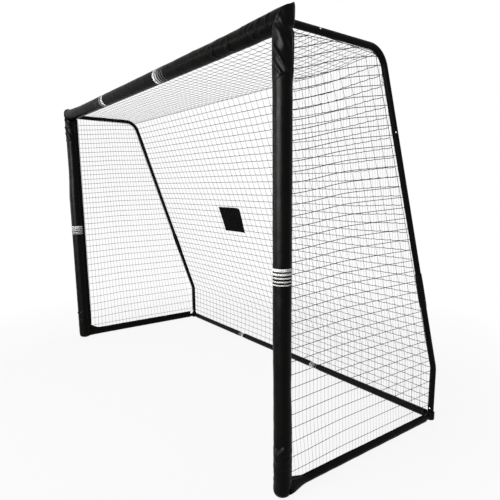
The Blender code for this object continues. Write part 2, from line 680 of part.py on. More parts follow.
def build_snap_buttons():
    """In each joint a folded leaf spring carries a button on its free leaf."""
    arm_bore = (stub(ARM_TUBE, ARM_WALL) - 2 * FRONT_WALL) / 2 * math.cos(math.pi / TUBE_FACETS)
    half_width = LEAF_WIDTH / 2
    leaf_top = math.sqrt((arm_bore - FIT_GAP) ** 2 - half_width ** 2)
    leaf_line = leaf_top - LEAF_THICKNESS / 2
    button_top = ARM_TUBE / 2 + BUTTON_PROUD
    for joint, frame_of in (("arm", arm_button_frame), ("slope", slope_button_frame)):
        for side, sign in SIDES:
            axis, way, foot = frame_of(sign)
            hinge = foot - axis * LEAF_LENGTH + way * leaf_line
            matrix = Matrix((axis, way.cross(axis), way)).transposed().to_4x4()
            matrix.translation = hinge

            low = (FIT_GAP, -half_width, -LEAF_THICKNESS / 2)
            high = (LEAF_LENGTH + LEAF_TAIL, half_width, LEAF_THICKNESS / 2)
            leaf = box_cutter(low, high, matrix)
            leaf.name = "snap_button_" + joint + "_" + side
            leaf.hide_render = False
            leaf.display_type = "TEXTURED"
            CUTTERS.objects.unlink(leaf)
            GOAL.objects.link(leaf)
            radius = BUTTON_DIAMETER / 2
            height = button_top - leaf_line
            dome = [(0, height), (radius * 0.6, height), (radius, height - radius * 0.4)]
            base = matrix @ Matrix.Translation((LEAF_LENGTH, 0, 0))
            knob = turned("knob", dome + [(radius, 0), (0, 0)], ZINC, base, SMALL_FACETS)
            join(leaf, knob, ZINC)

            centre = -leaf_line
            outer = leaf_line + LEAF_THICKNESS / 2
            inner = leaf_line - LEAF_THICKNESS / 2
            bend = [(radius * math.sin(angle), centre + radius * math.cos(angle))
                    for radius, angles in ((outer, range(0, 9)), (inner, range(8, -1, -1)))
                    for angle in [-math.pi * step / 8 for step in angles]]
            run = LEAF_LENGTH + LEAF_TAIL
            outline = bend[:9] + [(run, centre - outer), (run, centre - inner)] + bend[9:]
            turn = Matrix(((1, 0, 0), (0, 0, -1), (0, 1, 0))).to_4x4()
            flat_plate("snap_spring_" + joint + "_" + side, [outline], LEAF_WIDTH, ZINC, matrix @ turn)


def build_fasteners():
    """Bolt and nut through each rear upright, screw in each side bar."""
    grip = UPRIGHT_TUBE / 2 + FIT_GAP
    shank = BOLT_DIAMETER / 2
    for side, sign in SIDES:
        centre = Vector((sign * POST_X, BASE_DEPTH, BOLT_HEIGHT))
        tip = grip + NUT_HEIGHT + 0.003
        profile = [(0, tip), (shank, tip), (shank, -grip), (BOLT_HEAD / 2, -grip),
                   (BOLT_HEAD / 2, -grip - BOLT_HEAD_HEIGHT / 2), (BOLT_HEAD / 4, -grip - BOLT_HEAD_HEIGHT),
                   (0, -grip - BOLT_HEAD_HEIGHT)]
        turned("rear_bolt_" + side, profile, ZINC, along((0, 1, 0), centre), SMALL_FACETS)
        nut_bore = clear_of(shank, NUT_SIDES)
        profile = [(NUT_WIDTH / 2, grip + NUT_HEIGHT), (NUT_WIDTH / 2, grip), (nut_bore, grip),
                   (nut_bore, grip + NUT_HEIGHT)]
        turned("rear_nut_" + side, profile, ZINC, along((0, 1, 0), centre), NUT_SIDES)

        seat = SIDE_TUBE / 2 + FIT_GAP
        shank_end = SIDE_TUBE / 2 - 0.008
        radius = SCREW_DIAMETER / 2
        profile = [(0, seat + 0.003), (SCREW_HEAD / 4, seat + 0.003), (SCREW_HEAD / 2, seat + 0.0012),
                   (SCREW_HEAD / 2, seat), (radius, seat), (radius, shank_end), (0, shank_end)]
        turned("foot_screw_" + side, profile, ZINC,
               Matrix.Translation((sign * POST_X, SCREW_PLACE, BAR_HEIGHT)), SMALL_FACETS)


def inset(quad, edges):
    """Corners of a four-sided cell after each side moves in by its own amount."""
    lines = []
    for index in range(4):
        start = Vector(quad[index])
        way = (Vector(quad[(index + 1) % 4]) - start).normalized()
        normal = Vector((-way.y, way.x))
        lines.append((start + normal * edges[index], way))
    corners = []
    for index in range(4):
        (p, d), (q, e) = lines[index - 1], lines[index]
        share = ((q.x - p.x) * e.y - (q.y - p.y) * e.x) / (d.x * e.y - d.y * e.x)
        corners.append(tuple(p + d * share))
    return corners


def net_panel(name, rows, matrix):
    """Flat net from rows of grid points, all anticlockwise, with a hem round it."""
    last_row = len(rows) - 2
    last_column = len(rows[0]) - 2
    outline = list(rows[0]) + [row[-1] for row in rows[1:-1]] + list(reversed(rows[-1]))
    outline += [row[0] for row in reversed(rows[1:-1])]
    outline = [point for index, point in enumerate(outline)
               if not straight(outline[index - 1], point, outline[(index + 1) % len(outline)])]
    cells = []
    for row in range(last_row + 1):
        for column in range(last_column + 1):
            low, high = rows[row], rows[row + 1]
            quad = [low[column], low[column + 1], high[column + 1], high[column]]
            edges = [HEM if row == 0 else CORD / 2, HEM if column == last_column else CORD / 2,
                     HEM if row == last_row else CORD / 2, HEM if column == 0 else CORD / 2]
            cells.append(inset(quad, edges))
    return flat_plate(name, [outline] + cells, CORD, NETTING, matrix)


def straight(before, point, after):
    """Whether a point lies on the line between its two neighbours."""
    way_in = Vector(point) - Vector(before)
    way_out = Vector(after) - Vector(point)
    return abs(way_in.x * way_out.y - way_in.y * way_out.x) < 1e-9


def grid(low_width, high_width, height, rows):
    """Rows of points over a trapezium centred on local X, rising from local Y zero."""
    widths = [low_width + (high_width - low_width) * row / rows for row in range(rows + 1)]
    return [[(width * (column / COLUMNS_ACROSS - 0.5), height * row / rows)
             for column in range(COLUMNS_ACROSS + 1)] for row, width in enumerate(widths)]


def crease_point():
    """Middle of the bend on its axis, where the roof net meets the slope net."""
    turn = math.acos(SLOPE_WAY.y)
    reach = BEND_RADIUS * math.tan(turn / 2)
    centre_y = ROOF_DEPTH - reach
    centre_z = CROSSBAR_Z - BEND_RADIUS
    return (centre_y + BEND_RADIUS * math.sin(turn / 2), centre_z + BEND_RADIUS * math.cos(turn / 2))


def fold_gap(first, second):
    """How far each of two panels stops short of the line where they meet at an angle."""
    return CORD / 2 * math.tan(first.angle(second) / 2) + FIT_GAP


def panel_matrix(low, high):
    """Local X along the goal, local Y from one (y, z) point towards another."""
    way = Vector((0, high[0] - low[0], high[1] - low[1]))
    rise = way.normalized()
    matrix = Matrix((Vector((1, 0, 0)), rise, Vector((1, 0, 0)).cross(rise))).transposed().to_4x4()
    matrix.translation = (0, low[0], low[1])
    return matrix, way.length


def side_rear_edge(height):
    """Depth at which the side net stops, in front of the slope tube and the upright."""
    bolt_reach = UPRIGHT_TUBE / 2 + FIT_GAP + BOLT_HEAD_HEIGHT
    clear = max(joint_sleeve_radius(), bolt_reach) + CLOTH_GAP
    upright_edge = BASE_DEPTH - clear
    slope_edge = slope_point(0, height).y - clear / abs(SLOPE_WAY.z)
    edge = min(upright_edge, slope_edge)
    turn = math.acos(SLOPE_WAY.y)
    centre_y = ROOF_DEPTH - BEND_RADIUS * math.tan(turn / 2)
    centre_z = CROSSBAR_Z - BEND_RADIUS
    inner = BEND_RADIUS - clear
    rise = height - centre_z
    if rise > -inner * SLOPE_WAY.y:
        edge = min(edge, centre_y + math.sqrt(max(inner ** 2 - max(rise, 0) ** 2, 0)))
    return edge


def build_net():
    """Roof, slope, lower rear and two side panels, with the patch on the slope."""
    crease = crease_point()
    kink = (BASE_DEPTH, KINK_HEIGHT)
    width = 2 * (POST_X - joint_sleeve_radius() - CLOTH_GAP)
    front = PAD_RADIUS + POST_FLAP + CLOTH_GAP

    matrix, length = panel_matrix((front, CROSSBAR_Z), crease)
    crease_gap = fold_gap(Vector(crease) - Vector((front, CROSSBAR_Z)), Vector(kink) - Vector(crease))
    roof_width = 2 * (POST_X - ARM_TUBE / 2 - CLOTH_GAP)
    net_panel("net_roof", grid(roof_width, roof_width, length - crease_gap, ROOF_ROWS), matrix)

    matrix, length = panel_matrix(kink, crease)
    kink_gap = fold_gap(Vector(kink) - Vector(crease), Vector((0, -1)))
    slope_matrix = matrix @ Matrix.Translation((0, kink_gap, 0))
    net_panel("net_slope", grid(width, width, length - kink_gap - crease_gap, SLOPE_ROWS), slope_matrix)

    low = BAR_HEIGHT + clear_of(REAR_TUBE / 2, TUBE_FACETS) + BAND_WALL + CLOTH_GAP
    hub_width = 2 * (POST_X - CORNER_HUB_DIAMETER / 2 - 2 * CLOTH_GAP)
    lower_width = 2 * (POST_X - UPRIGHT_TUBE / 2 - CLOTH_GAP)
    lower_matrix, length = panel_matrix((BASE_DEPTH, low), kink)
    net_panel("net_lower", grid(hub_width, lower_width, length - kink_gap, LOWER_ROWS), lower_matrix)

    bottom = BAR_HEIGHT + SIDE_SLEEVE_DIAMETER / 2 + SIDE_FLAP + CLOTH_GAP
    top = CROSSBAR_Z - ARM_TUBE / 2 - CLOTH_GAP
    levels = [bottom + (KINK_HEIGHT - bottom) * row / SIDE_LOWER_ROWS for row in range(SIDE_LOWER_ROWS)]
    rise = (top - KINK_HEIGHT) / SIDE_UPPER_ROWS
    levels += [KINK_HEIGHT + rise * row for row in range(SIDE_UPPER_ROWS + 1)]
    rows = [[(front + (side_rear_edge(level) - front) * column / SIDE_COLUMNS, level)
             for column in range(SIDE_COLUMNS + 1)] for level in levels]
    for side, sign in SIDES:
        standing = Matrix(((0, 0, 1), (1, 0, 0), (0, 1, 0))).to_4x4()
        standing.translation = (sign * POST_X, 0, 0)
        net_panel("net_side_" + side, rows, standing)

    lift = CORD / 2 + FIT_GAP + PATCH_THICKNESS / 2
    half_width = PATCH_WIDTH / 2
    half_height = PATCH_HEIGHT / 2
    outline = [(-half_width, -half_height), (half_width, -half_height), (half_width, half_height),
               (-half_width, half_height)]
    place = matrix @ Matrix.Translation((PATCH_CENTRE, PATCH_RISE, 0))
    inward = place.to_3x3() @ Vector((0, 0, 1))
    side_of_net = 1 if inward.y < 0 else -1
    place = place @ Matrix.Translation((0, 0, side_of_net * lift))
    flat_plate("net_patch", [outline], PATCH_THICKNESS, SHEETING, place)


def centre_footprint():
    """Move the goal so that the origin is on the ground in the middle of its box."""
    corners = [obj.matrix_world @ Vector(corner) for obj in GOAL.objects for corner in obj.bound_box]
    lowest = [min(corner[axis] for corner in corners) for axis in range(3)]
    highest = [max(corner[axis] for corner in corners) for axis in range(3)]
    shift = Vector((-(lowest[0] + highest[0]) / 2, -(lowest[1] + highest[1]) / 2, -lowest[2]))
    for obj in GOAL.objects:
        obj.matrix_world = Matrix.Translation(shift) @ obj.matrix_world


def main():
    build_posts()
    build_crossbar()
    build_top_corners()
    build_feet()
    build_side_frames()
    build_ground_bars()
    build_padding()
    build_side_sleeves()
    build_pad_bands()
    build_snap_buttons()
    build_fasteners()
    build_net()
    centre_footprint()


main()
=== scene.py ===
"""Looks of the garden football goal: sheeting covers, tubes, fittings, printed rings and net.

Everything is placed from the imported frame: X runs along the crossbar, the mouth faces -Y, Z is up.
"""
import math
import random

import bmesh
import bpy
from mathutils import Matrix, Vector, noise


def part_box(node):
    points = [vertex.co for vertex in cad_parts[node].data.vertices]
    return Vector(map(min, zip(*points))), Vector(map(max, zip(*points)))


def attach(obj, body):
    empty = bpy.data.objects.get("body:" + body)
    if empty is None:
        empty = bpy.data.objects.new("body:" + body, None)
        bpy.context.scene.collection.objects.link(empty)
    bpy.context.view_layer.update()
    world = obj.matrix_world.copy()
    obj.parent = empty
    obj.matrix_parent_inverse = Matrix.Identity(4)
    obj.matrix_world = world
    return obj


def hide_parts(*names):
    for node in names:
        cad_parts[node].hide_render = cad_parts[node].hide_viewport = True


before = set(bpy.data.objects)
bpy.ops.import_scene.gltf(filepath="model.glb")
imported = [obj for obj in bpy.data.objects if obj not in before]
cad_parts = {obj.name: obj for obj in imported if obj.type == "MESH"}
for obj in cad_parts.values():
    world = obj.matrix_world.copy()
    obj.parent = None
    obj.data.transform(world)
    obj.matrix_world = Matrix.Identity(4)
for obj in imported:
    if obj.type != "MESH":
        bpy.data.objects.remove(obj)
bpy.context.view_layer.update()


def middle(node):
    """Middle of a CAD node's box."""
    low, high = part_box(node)
    return (low + high) / 2


# Axes of the frame, read from its tubes
POST_X = middle("post_lower_right").x
FRONT_Y = middle("post_lower_right").y
CROSSBAR_Z = middle("crossbar_tube_middle").z
REAR_Y = middle("rear_bar_middle").y
BAR_Z = middle("rear_bar_middle").z
SIDES = (("left", -1), ("right", 1))
RIGHT = Vector((1, 0, 0))
BACK = Vector((0, 1, 0))
UP = Vector((0, 0, 1))
FIT_GAP = 0.0003

# Padding covers
PAD_RADIUS = 0.038
FOAM_RADIUS = 0.0328
COVER_Y = FRONT_Y - 0.0035   # the covers hang a little forward of the tubes
POST_BULK = {"left": 0.0030, "right": 0.0004}
COVER_WALL = 0.0012
SIDE_WALL = 0.0009
CLOTH_WALL = 0.0010       # of the patch and the rear hem
# How a post's cover hangs to one side: amount, way round in degrees, heights of its start and its full
COVER_HANG = {
    "left": ((0.0048, -105, 1.50, 1.25),),
    "right": ((0.0012, -129, 0.45, 0.75), (0.0024, 51, 0.50, 0.28)),
}
CROSSBAR_BULK = 0.0012
CROSSBAR_FLAP = 0.030
POST_FLAP = 0.020
FLAP_HALF = 0.0015
FLAP_ANGLE = {"left": math.radians(24), "right": math.radians(27)}
HOOD_END = 1.755          # lower edge of the gathered hood over each post
SIDE_RADIUS = {"left": 0.0185, "right": 0.0202}
SIDE_FLAP = {"left": 0.0230, "right": 0.0030}
SIDE_START = FRONT_Y + 0.012
SIDE_END = {"left": FRONT_Y + 1.079, "right": FRONT_Y + 1.060}
SIDE_FLAP_TILT = {"left": 0.16, "right": -0.05}
FLARE_LENGTH = 0.125      # the sleeve widens over this length towards the post
FLARE_WIDE = 1.30
FLARE_TALL = 1.10
MITRE_LENGTH = 0.15       # the covers lean into their mitre over this length
SEAM_LENGTH = 0.008       # folds fade out over this length at the mitre's seam
FOAM_GAP = 0.004          # between the foam of a post and of the crossbar

# Tubes
FRONT_RADIUS = 0.019
FRONT_NECK = 0.0172       # radius of the fittings' necks inside the front tubes
ARM_RADIUS = 0.015
SLOPE_RADIUS = 0.015
UPRIGHT_RADIUS = 0.016
SIDE_TUBE_RADIUS = 0.016
REAR_RADIUS = 0.015
TUBE_WALL = 0.0012
ARM_HOLE = ARM_RADIUS + 0.0015
ROLLED_IN = 0.00048       # the rims of cut ends are drawn in by this
ARM_NECK = 0.0133         # radius of the arm's swaged end
REAR_NECK = 0.0130        # radius of the rear bar's swaged ends
REAR_LAP = 0.06
ROOF_DEPTH = 0.563
ARM_SEAM = 0.150
BEND_RADIUS = 0.110
SLOPE_SEAM_Z = 1.635
SLOPE_LAP = 0.080
UPRIGHT_SEAM_Z = 0.800
KINK_Z = 0.3185
KINK_RADIUS = 0.150
HUB_RADIUS = 0.022
HUB_HEIGHT = 0.046
FOOT_TOP = 0.100

# Snap buttons and bolts
BUTTON_RADIUS = 0.0035
BUTTON_PROUD = 0.003
BUTTON_DOME = 0.0018
LEAF_LINE = 0.0088        # from the tube's axis to the spring clip's leaf
LEAF_SIZE = (0.0437, 0.009, 0.001)
LEAF_SHIFT = -0.0158      # from the button to the leaf's middle
BUTTON_HOLE = 0.0047
BUTTON_OFFSET = 0.025
ARM_BUTTON_TILT = math.radians(20)
SLOPE_BUTTON_TILT = math.radians(35)
BOLT_Z = 0.071

# Printed rings: start and width of each, from the widest ring on
RING_STARTS = (0.0, 0.0193, 0.0358, 0.0512, 0.0655)
RING_WIDTHS = (0.0128, 0.0092, 0.0068, 0.0058, 0.0048)
RING_REACH = 0.075
RING_PRINT = 0.0005
RING_ARC = math.radians(322)
RING_STEPS = 72

# Net
REAR_CORDS = (0.0016, 0.0010)      # radius of a row and of a column
ROOF_CORDS = (0.0010, 0.0007)
SIDE_CORDS = {"left": (0.0015, 0.0009), "right": (0.0015, 0.0005)}
BORDER_CORD = 0.0013
FIRST_ROW = {"left": 0.094, "right": 0.087}
# Row pitch of the side nets at the ground, its loss per metre of height, and its least and most
SIDE_ROW_PITCH = {"left": (0.0730, 0.0243, 0.0383, 0.0730), "right": (0.0716, 0.0208, 0.0389, 0.0645)}
CREASE_DROP = 0.026        # the crease sags along the slope towards the right
SIDE_COLUMN_PITCH = {"left": (0.0335, 0.0), "right": (0.0216, 0.00004)}
SIDE_ROW_TILT = {"left": 0.35, "right": 1.0}
NET_COLUMNS = 47
ROOF_COLUMNS = 53
DIP = 0.0030
DROOP_STEPS = 3
NET_CLEAR = 0.0205         # from the axis of a rear tube to the net beside it
NET_GAP = 0.0035           # from an arm's skin to the net beside it
PATCH_SIZE = (0.305, 0.205)
PATCH_HEM = 0.009
PATCH_SHIFT = (0.026, 0.006)   # from the CAD patch's middle, across and up the slope

# Faces round and along each shape
ROUND_STEPS = 84
FLAP_STEPS = 6
TUBE_STEPS = 32
SAME = 0.000001           # vertices closer than this are one
FAR = 10.0                # farther than anything on the goal


def slope_point(x, height):
    """Point on the slope tube's axis at a height."""
    share = (CROSSBAR_Z - height) / (CROSSBAR_Z - KINK_Z)
    return Vector((x, FRONT_Y + ROOF_DEPTH + share * (REAR_Y - FRONT_Y - ROOF_DEPTH), height))


SLOPE_WAY = (slope_point(0, KINK_Z) - slope_point(0, CROSSBAR_Z)).normalized()

# Turn and centre of the arms' bend
BEND_TURN = math.acos(SLOPE_WAY.y)
BEND_Y = FRONT_Y + ROOF_DEPTH - BEND_RADIUS * math.tan(BEND_TURN / 2)
BEND_Z = CROSSBAR_Z - BEND_RADIUS


def ease(value, start, end):
    """Smooth step from 0 at start to 1 at end."""
    share = min(1.0, max(0.0, (value - start) / (end - start)))
    return share * share * (3 - 2 * share)


# Materials

# Output of each texture that gives its height
HEIGHT_SOCKET = {"TexNoise": "Fac", "TexVoronoi": "Distance", "TexWave": "Fac"}
PLAIN_STRETCH = (1, 1, 1)
BLACK = (0.003, 0.003, 0.003)


def fill_in(tree, target, sockets):
    """Give each socket of a node its value, or join it to another node's output."""
    for name, value in sockets.items():
        if isinstance(value, bpy.types.NodeSocket):
            tree.links.new(value, target.inputs[name])
        else:
            target.inputs[name].default_value = value


def shader_node(tree, kind, sockets, operation=None, data_type=None):
    """New shader node with its sockets filled in."""
    made = tree.nodes.new("ShaderNode" + kind)
    if operation:
        made.operation = operation
    if data_type:
        made.data_type = data_type
    fill_in(tree, made, sockets)
    return made


def on_object(tree):
    """Object coordinates."""
    return shader_node(tree, "TexCoord", {}).outputs["Object"]


def ranged(tree, value, start, end, low, high):
    """Map a value from between start and end to between low and high."""
    sockets = {"Value": value, "From Min": start, "From Max": end, "To Min": low, "To Max": high}
    return shader_node(tree, "MapRange", sockets).outputs["Result"]


def mixed(tree, factor, first, second):
    """Colour between two colours."""
    sockets = {"Factor": factor, "A": first, "B": second}
    return shader_node(tree, "Mix", sockets, data_type="RGBA").outputs["Result"]


def noisy(scale, detail, roughness=0.5, stretch=PLAIN_STRETCH):
    """Texture of smooth noise."""
    return "TexNoise", stretch, {"Scale": scale, "Detail": detail, "Roughness": roughness}


def cells(scale):
    """Texture of round cells."""
    return "TexVoronoi", PLAIN_STRETCH, {"Scale": scale}


def waves(scale, stretch=PLAIN_STRETCH):
    """Texture of waves."""
    return "TexWave", stretch, {"Scale": scale}


def pattern(tree, texture):
    """Height of a texture on Object coordinates."""
    kind, stretch, sockets = texture
    mapping = shader_node(tree, "Mapping", {"Scale": stretch, "Vector": on_object(tree)})
    made = shader_node(tree, kind, {**sockets, "Vector": mapping.outputs["Vector"]})
    return made.outputs[HEIGHT_SOCKET[kind]]


def spread(tree, texture, low, high):
    """Map a texture's usual heights to between low and high."""
    return ranged(tree, pattern(tree, texture), 0.3, 0.7, low, high)


def coat(name, colour, roughness, tones, tone, layers, ior=1.45, metallic=0.0, wear=None):
    """Principled material whose tone, gloss and surface wander a little.

    The colour wanders between two tones by the texture tone. A layer is a texture with the
    strength and depth of its relief, and wear is a texture with the least and most roughness."""
    material = bpy.data.materials.new(name)
    material.use_nodes = True
    tree = material.node_tree
    shader = tree.nodes["Principled BSDF"]
    plain = {"Base Color": (*colour, 1), "Roughness": roughness, "Metallic": metallic, "IOR": ior}
    fill_in(tree, shader, plain)
    joined = {"Base Color": mixed(tree, spread(tree, tone, 0, 1), (*tones[0], 1), (*tones[1], 1))}
    if wear:
        joined["Roughness"] = spread(tree, *wear)
    for texture, strength, depth in layers:
        bump = {"Strength": strength, "Distance": depth, "Height": pattern(tree, texture)}
        if "Normal" in joined:
            bump["Normal"] = joined["Normal"]
        joined["Normal"] = shader_node(tree, "Bump", bump).outputs["Normal"]
    fill_in(tree, shader, joined)
    return material


def sheeting(name, ior):
    """Black PVC sheeting: soft gloss, fine grain and small dents."""
    return coat(name, BLACK, 0.36, ((0.0012, 0.0013, 0.0015), (0.0030, 0.0026, 0.0021)), noisy(9, 3),
                ((noisy(55, 2), 0.35, 0.0012), (cells(900), 0.10, 0.0002)), ior=ior,
                wear=(noisy(38, 5, 0.6), 0.30, 0.42))


def film(node=None, worn=(0.05, 0.05, 0.05), fading=(0.17, 0.75)):
    """Light grey printed film, a little rubbed. On a bar it wears off away from the middle.

    Fading gives the shares of the band's length where the wear starts and is full."""
    material = coat("light_band", (0.72, 0.71, 0.70), 0.5, ((0.70, 0.69, 0.68), (0.90, 0.89, 0.88)),
                    noisy(90, 6, 0.7), ((noisy(500, 2), 0.15, 0.0002),), ior=1.12)
    if not node:
        return material
    low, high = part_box(node)
    near, far = sorted((abs(low.x), abs(high.x)))
    start, end = (near + (far - near) * share for share in fading)
    tree = material.node_tree
    shader = tree.nodes["Principled BSDF"]
    across = shader_node(tree, "SeparateXYZ", {"Vector": on_object(tree)}).outputs["X"]
    reach = shader_node(tree, "Math", {0: across}, operation="ABSOLUTE").outputs[0]
    fade = ranged(tree, reach, start, end, 0, 1)
    printed = shader.inputs["Base Color"].links[0].from_socket
    fill_in(tree, shader, {"Base Color": mixed(tree, fade, printed, (*worn, 1))})
    return material


FINISHES = {
    "pvc_sheeting": sheeting("pvc_sheeting", 1.13),
    "crossbar_sheeting": sheeting("crossbar_sheeting", 1.08),
    # Black powder coat with a fine orange peel
    "coated_steel": coat(
        "coated_steel", BLACK, 0.45, ((0.0016, 0.0016, 0.0016), (0.0036, 0.0033, 0.0031)), noisy(14, 4),
        ((noisy(700, 1), 0.22, 0.0003),), ior=1.12, wear=(noisy(60, 6, 0.65), 0.34, 0.52)),
    # Black moulded nylon with a spark-eroded grain
    "black_plastic": coat(
        "black_plastic", BLACK, 0.5, ((0.0018, 0.0018, 0.0019), (0.0042, 0.0042, 0.0044)), noisy(25, 3),
        ((noisy(1200, 2), 0.3, 0.0002),), ior=1.12),
    # Grey closed-cell foam
    "grey_foam": coat(
        "grey_foam", (0.16, 0.16, 0.17), 0.95, ((0.11, 0.11, 0.12), (0.20, 0.20, 0.21)), noisy(120, 4),
        ((cells(500), 0.7, 0.0008),)),
    "light_band": film(),
    "crossbar_band_left": film("crossbar_band_left", (0.03, 0.03, 0.03), (0.10, 0.40)),
    "crossbar_band_right": film("crossbar_band_right", (0.10, 0.10, 0.10), (0.10, 0.60)),
    "rear_band_left": film("rear_bar_band_left", (0.35, 0.35, 0.34)),
    "rear_band_right": film("rear_bar_band_right", (0.40, 0.40, 0.39)),
    # Zinc-plated steel, faintly brushed
    "zinc_steel": coat(
        "zinc_steel", (0.62, 0.63, 0.65), 0.30, ((0.50, 0.51, 0.53), (0.72, 0.73, 0.75)), noisy(200, 3),
        ((noisy(900, 2, stretch=(1, 1, 0.1)), 0.2, 0.0001),), metallic=1.0,
        wear=(noisy(900, 2, stretch=(1, 1, 0.1)), 0.22, 0.40)),
    # Black twisted polyethylene cord
    "netting": coat(
        "netting", (0.010, 0.010, 0.010), 0.7, ((0.006, 0.006, 0.006), (0.018, 0.018, 0.018)), noisy(300, 3),
        ((waves(220, (1, 1, 1.6)), 0.5, 0.0004),), ior=1.08),
    # Black woven cloth, matt
    "patch_cloth": coat(
        "patch_cloth", BLACK, 0.85, ((0.0016, 0.0016, 0.0020), (0.0045, 0.0045, 0.0050)), noisy(40, 4),
        ((noisy(45, 2), 0.5, 0.002), (waves(420), 0.3, 0.0003)), ior=1.08),
}


# Mesh building

def mesh_of(name, work):
    """Mesh of a bmesh, which is used up."""
    mesh = bpy.data.meshes.new(name)
    work.to_mesh(mesh)
    work.free()
    return mesh


def added(name, data):
    """Object in the scene for a mesh, curve, lamp or camera."""
    obj = bpy.data.objects.new(name, data)
    bpy.context.scene.collection.objects.link(obj)
    return obj


def piece(name, work, slot, nodes=(), body="frame", wall=0.0, grows=-1, sharp=35, finish=None):
    """Make a finished object of a bmesh, give it its finish and let it ride on a body.

    Its wall grows inwards, or both ways with grows 0, or outwards with 1."""
    bmesh.ops.recalc_face_normals(work, faces=work.faces)
    mesh = mesh_of(name, work)
    mesh.materials.append(FINISHES[finish or slot])
    mesh.shade_smooth()
    mesh.set_sharp_from_angle(angle=math.radians(sharp))
    obj = added(name, mesh)
    if wall:
        shell = obj.modifiers.new("wall", "SOLIDIFY")
        shell.thickness = wall
        shell.offset = grows
    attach(obj, body)
    if nodes:
        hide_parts(*nodes)
    return obj


def lofted(columns, rows, point_at, loop=True):
    """Grid of faces bent so that vertex (column, row) lies at point_at(column, row)."""
    work = bmesh.new()
    bmesh.ops.create_grid(work, x_segments=columns, y_segments=rows, size=0.5)
    for vertex in work.verts:
        column = round((vertex.co.x + 0.5) * columns)
        row = round((vertex.co.y + 0.5) * rows)
        vertex.co = point_at(column % columns if loop else column, row)
    if loop:
        bmesh.ops.remove_doubles(work, verts=work.verts, dist=SAME)
    return work


def stations(start, *zones):
    """Places along a length, at a step of its own in each zone of (end, step)."""
    places = [start]
    for end, step in zones:
        first = places[-1]
        count = max(1, round((end - first) / step))
        places += [first + (end - first) * index / count for index in range(1, count + 1)]
    return places


def pipe(line, radii, side):
    """Tube skin along a flat line; side is the way square to the line's plane."""
    count = len(line)
    ways = [(line[min(i + 1, count - 1)] - line[max(i - 1, 0)]).normalized() for i in range(count)]
    across = Vector(side)

    def point_at(column, row):
        angle = 2 * math.pi * column / TUBE_STEPS
        out = across * math.cos(angle) + ways[row].cross(across) * math.sin(angle)
        return line[row] + out * radii[row]

    return lofted(TUBE_STEPS, count - 1, point_at)


def fillet(start, corner, end, radius, steps, spacing):
    """Points from start to end with an arc at the corner, and runs divided evenly."""
    way_in = (corner - start).normalized()
    way_out = (end - corner).normalized()
    turn = way_in.angle(way_out)
    reach = radius * math.tan(turn / 2)
    bend_start = corner - way_in * reach
    inward = (way_out - way_in * way_out.dot(way_in)).normalized()
    centre = bend_start + inward * radius
    axis = way_in.cross(way_out).normalized()
    arm = bend_start - centre
    arc = [centre + Matrix.Rotation(turn * step / steps, 3, axis) @ arm for step in range(steps + 1)]
    return run(start, arc[0], spacing) + arc[1:-1] + run(arc[-1], end, spacing)


def run(start, end, spacing):
    """Evenly spaced points on a straight run."""
    count = max(1, round((end - start).length / spacing))
    return [start.lerp(end, index / count) for index in range(count + 1)]


def pierce(work, start, way, radius, cuts):
    """Open a round hole where a line from start along way passes through a skin."""
    def off_axis(point):
        reach = point - start
        along = reach.dot(way)
        return (reach - way * along).length if along > 0 else FAR

    near = [face for face in work.faces if off_axis(face.calc_center_median()) < radius * 2]
    edges = list({edge for face in near for edge in face.edges})
    bmesh.ops.subdivide_edges(work, edges=edges, cuts=cuts, use_grid_fill=True)
    inside = [face for face in work.faces if off_axis(face.calc_center_median()) < radius]
    rim = {vertex for face in inside for vertex in face.verts}
    bmesh.ops.delete(work, geom=inside, context="FACES")
    for vertex in rim:
        if vertex.is_valid:
            reach = vertex.co - start
            along = way * reach.dot(way)
            vertex.co = start + along + (reach - along).normalized() * radius


def turned(profile, matrix, steps):
    """Spin a profile of (radius, height) points round local Z, then place it."""
    work = bmesh.new()
    points = [work.verts.new((radius, 0, height)) for radius, height in profile]
    edges = [work.edges.new(pair) for pair in zip(points, points[1:])]
    bmesh.ops.spin(work, geom=points + edges, cent=(0, 0, 0), axis=(0, 0, 1), angle=2 * math.pi,
                   steps=steps, use_merge=True)
    bmesh.ops.remove_doubles(work, verts=work.verts, dist=SAME)
    bmesh.ops.transform(work, matrix=matrix, verts=work.verts)
    bmesh.ops.recalc_face_normals(work, faces=work.faces)
    return work


def standing_on(way, origin):
    """Matrix that stands local Z on a way."""
    matrix = Vector(way).to_track_quat("Z", "Y").to_matrix().to_4x4()
    matrix.translation = origin
    return matrix


def rod(start, way, length, radius, edge=0.0005):
    """Closed cylinder from a start along a way, with eased rims."""
    bevel = [(radius - edge * (1 - math.sin(angle)), edge * (1 - math.cos(angle)))
             for angle in (0, math.pi / 6, math.pi / 3, math.pi / 2)]
    profile = [(0, 0), *bevel]
    profile += [(reach, length - height) for reach, height in reversed(bevel)] + [(0, length)]
    return turned(profile, standing_on(way, start), 40)


def absorb(work, part):
    """Add the faces of one bmesh to another."""
    mesh = mesh_of("part", part)
    work.from_mesh(mesh)
    bpy.data.meshes.remove(mesh)


def evaluated(obj):
    """Shape of an object with its modifiers or its cords' thickness, as a bmesh."""
    graph = bpy.context.evaluated_depsgraph_get()
    mesh = bpy.data.meshes.new_from_object(obj.evaluated_get(graph), depsgraph=graph)
    work = bmesh.new()
    work.from_mesh(mesh)
    bpy.data.meshes.remove(mesh)
    return work


def fused(parts):
    """Union of closed shapes, as one bmesh."""
    body, *tools = [added("shape", mesh_of("shape", part)) for part in parts]
    for tool in tools:
        union = body.modifiers.new("union", "BOOLEAN")
        union.operation = "UNION"
        union.object = tool
        union.solver = "EXACT"
    work = evaluated(body)
    for obj in (body, *tools):
        bpy.data.objects.remove(obj, do_unlink=True)
    return work


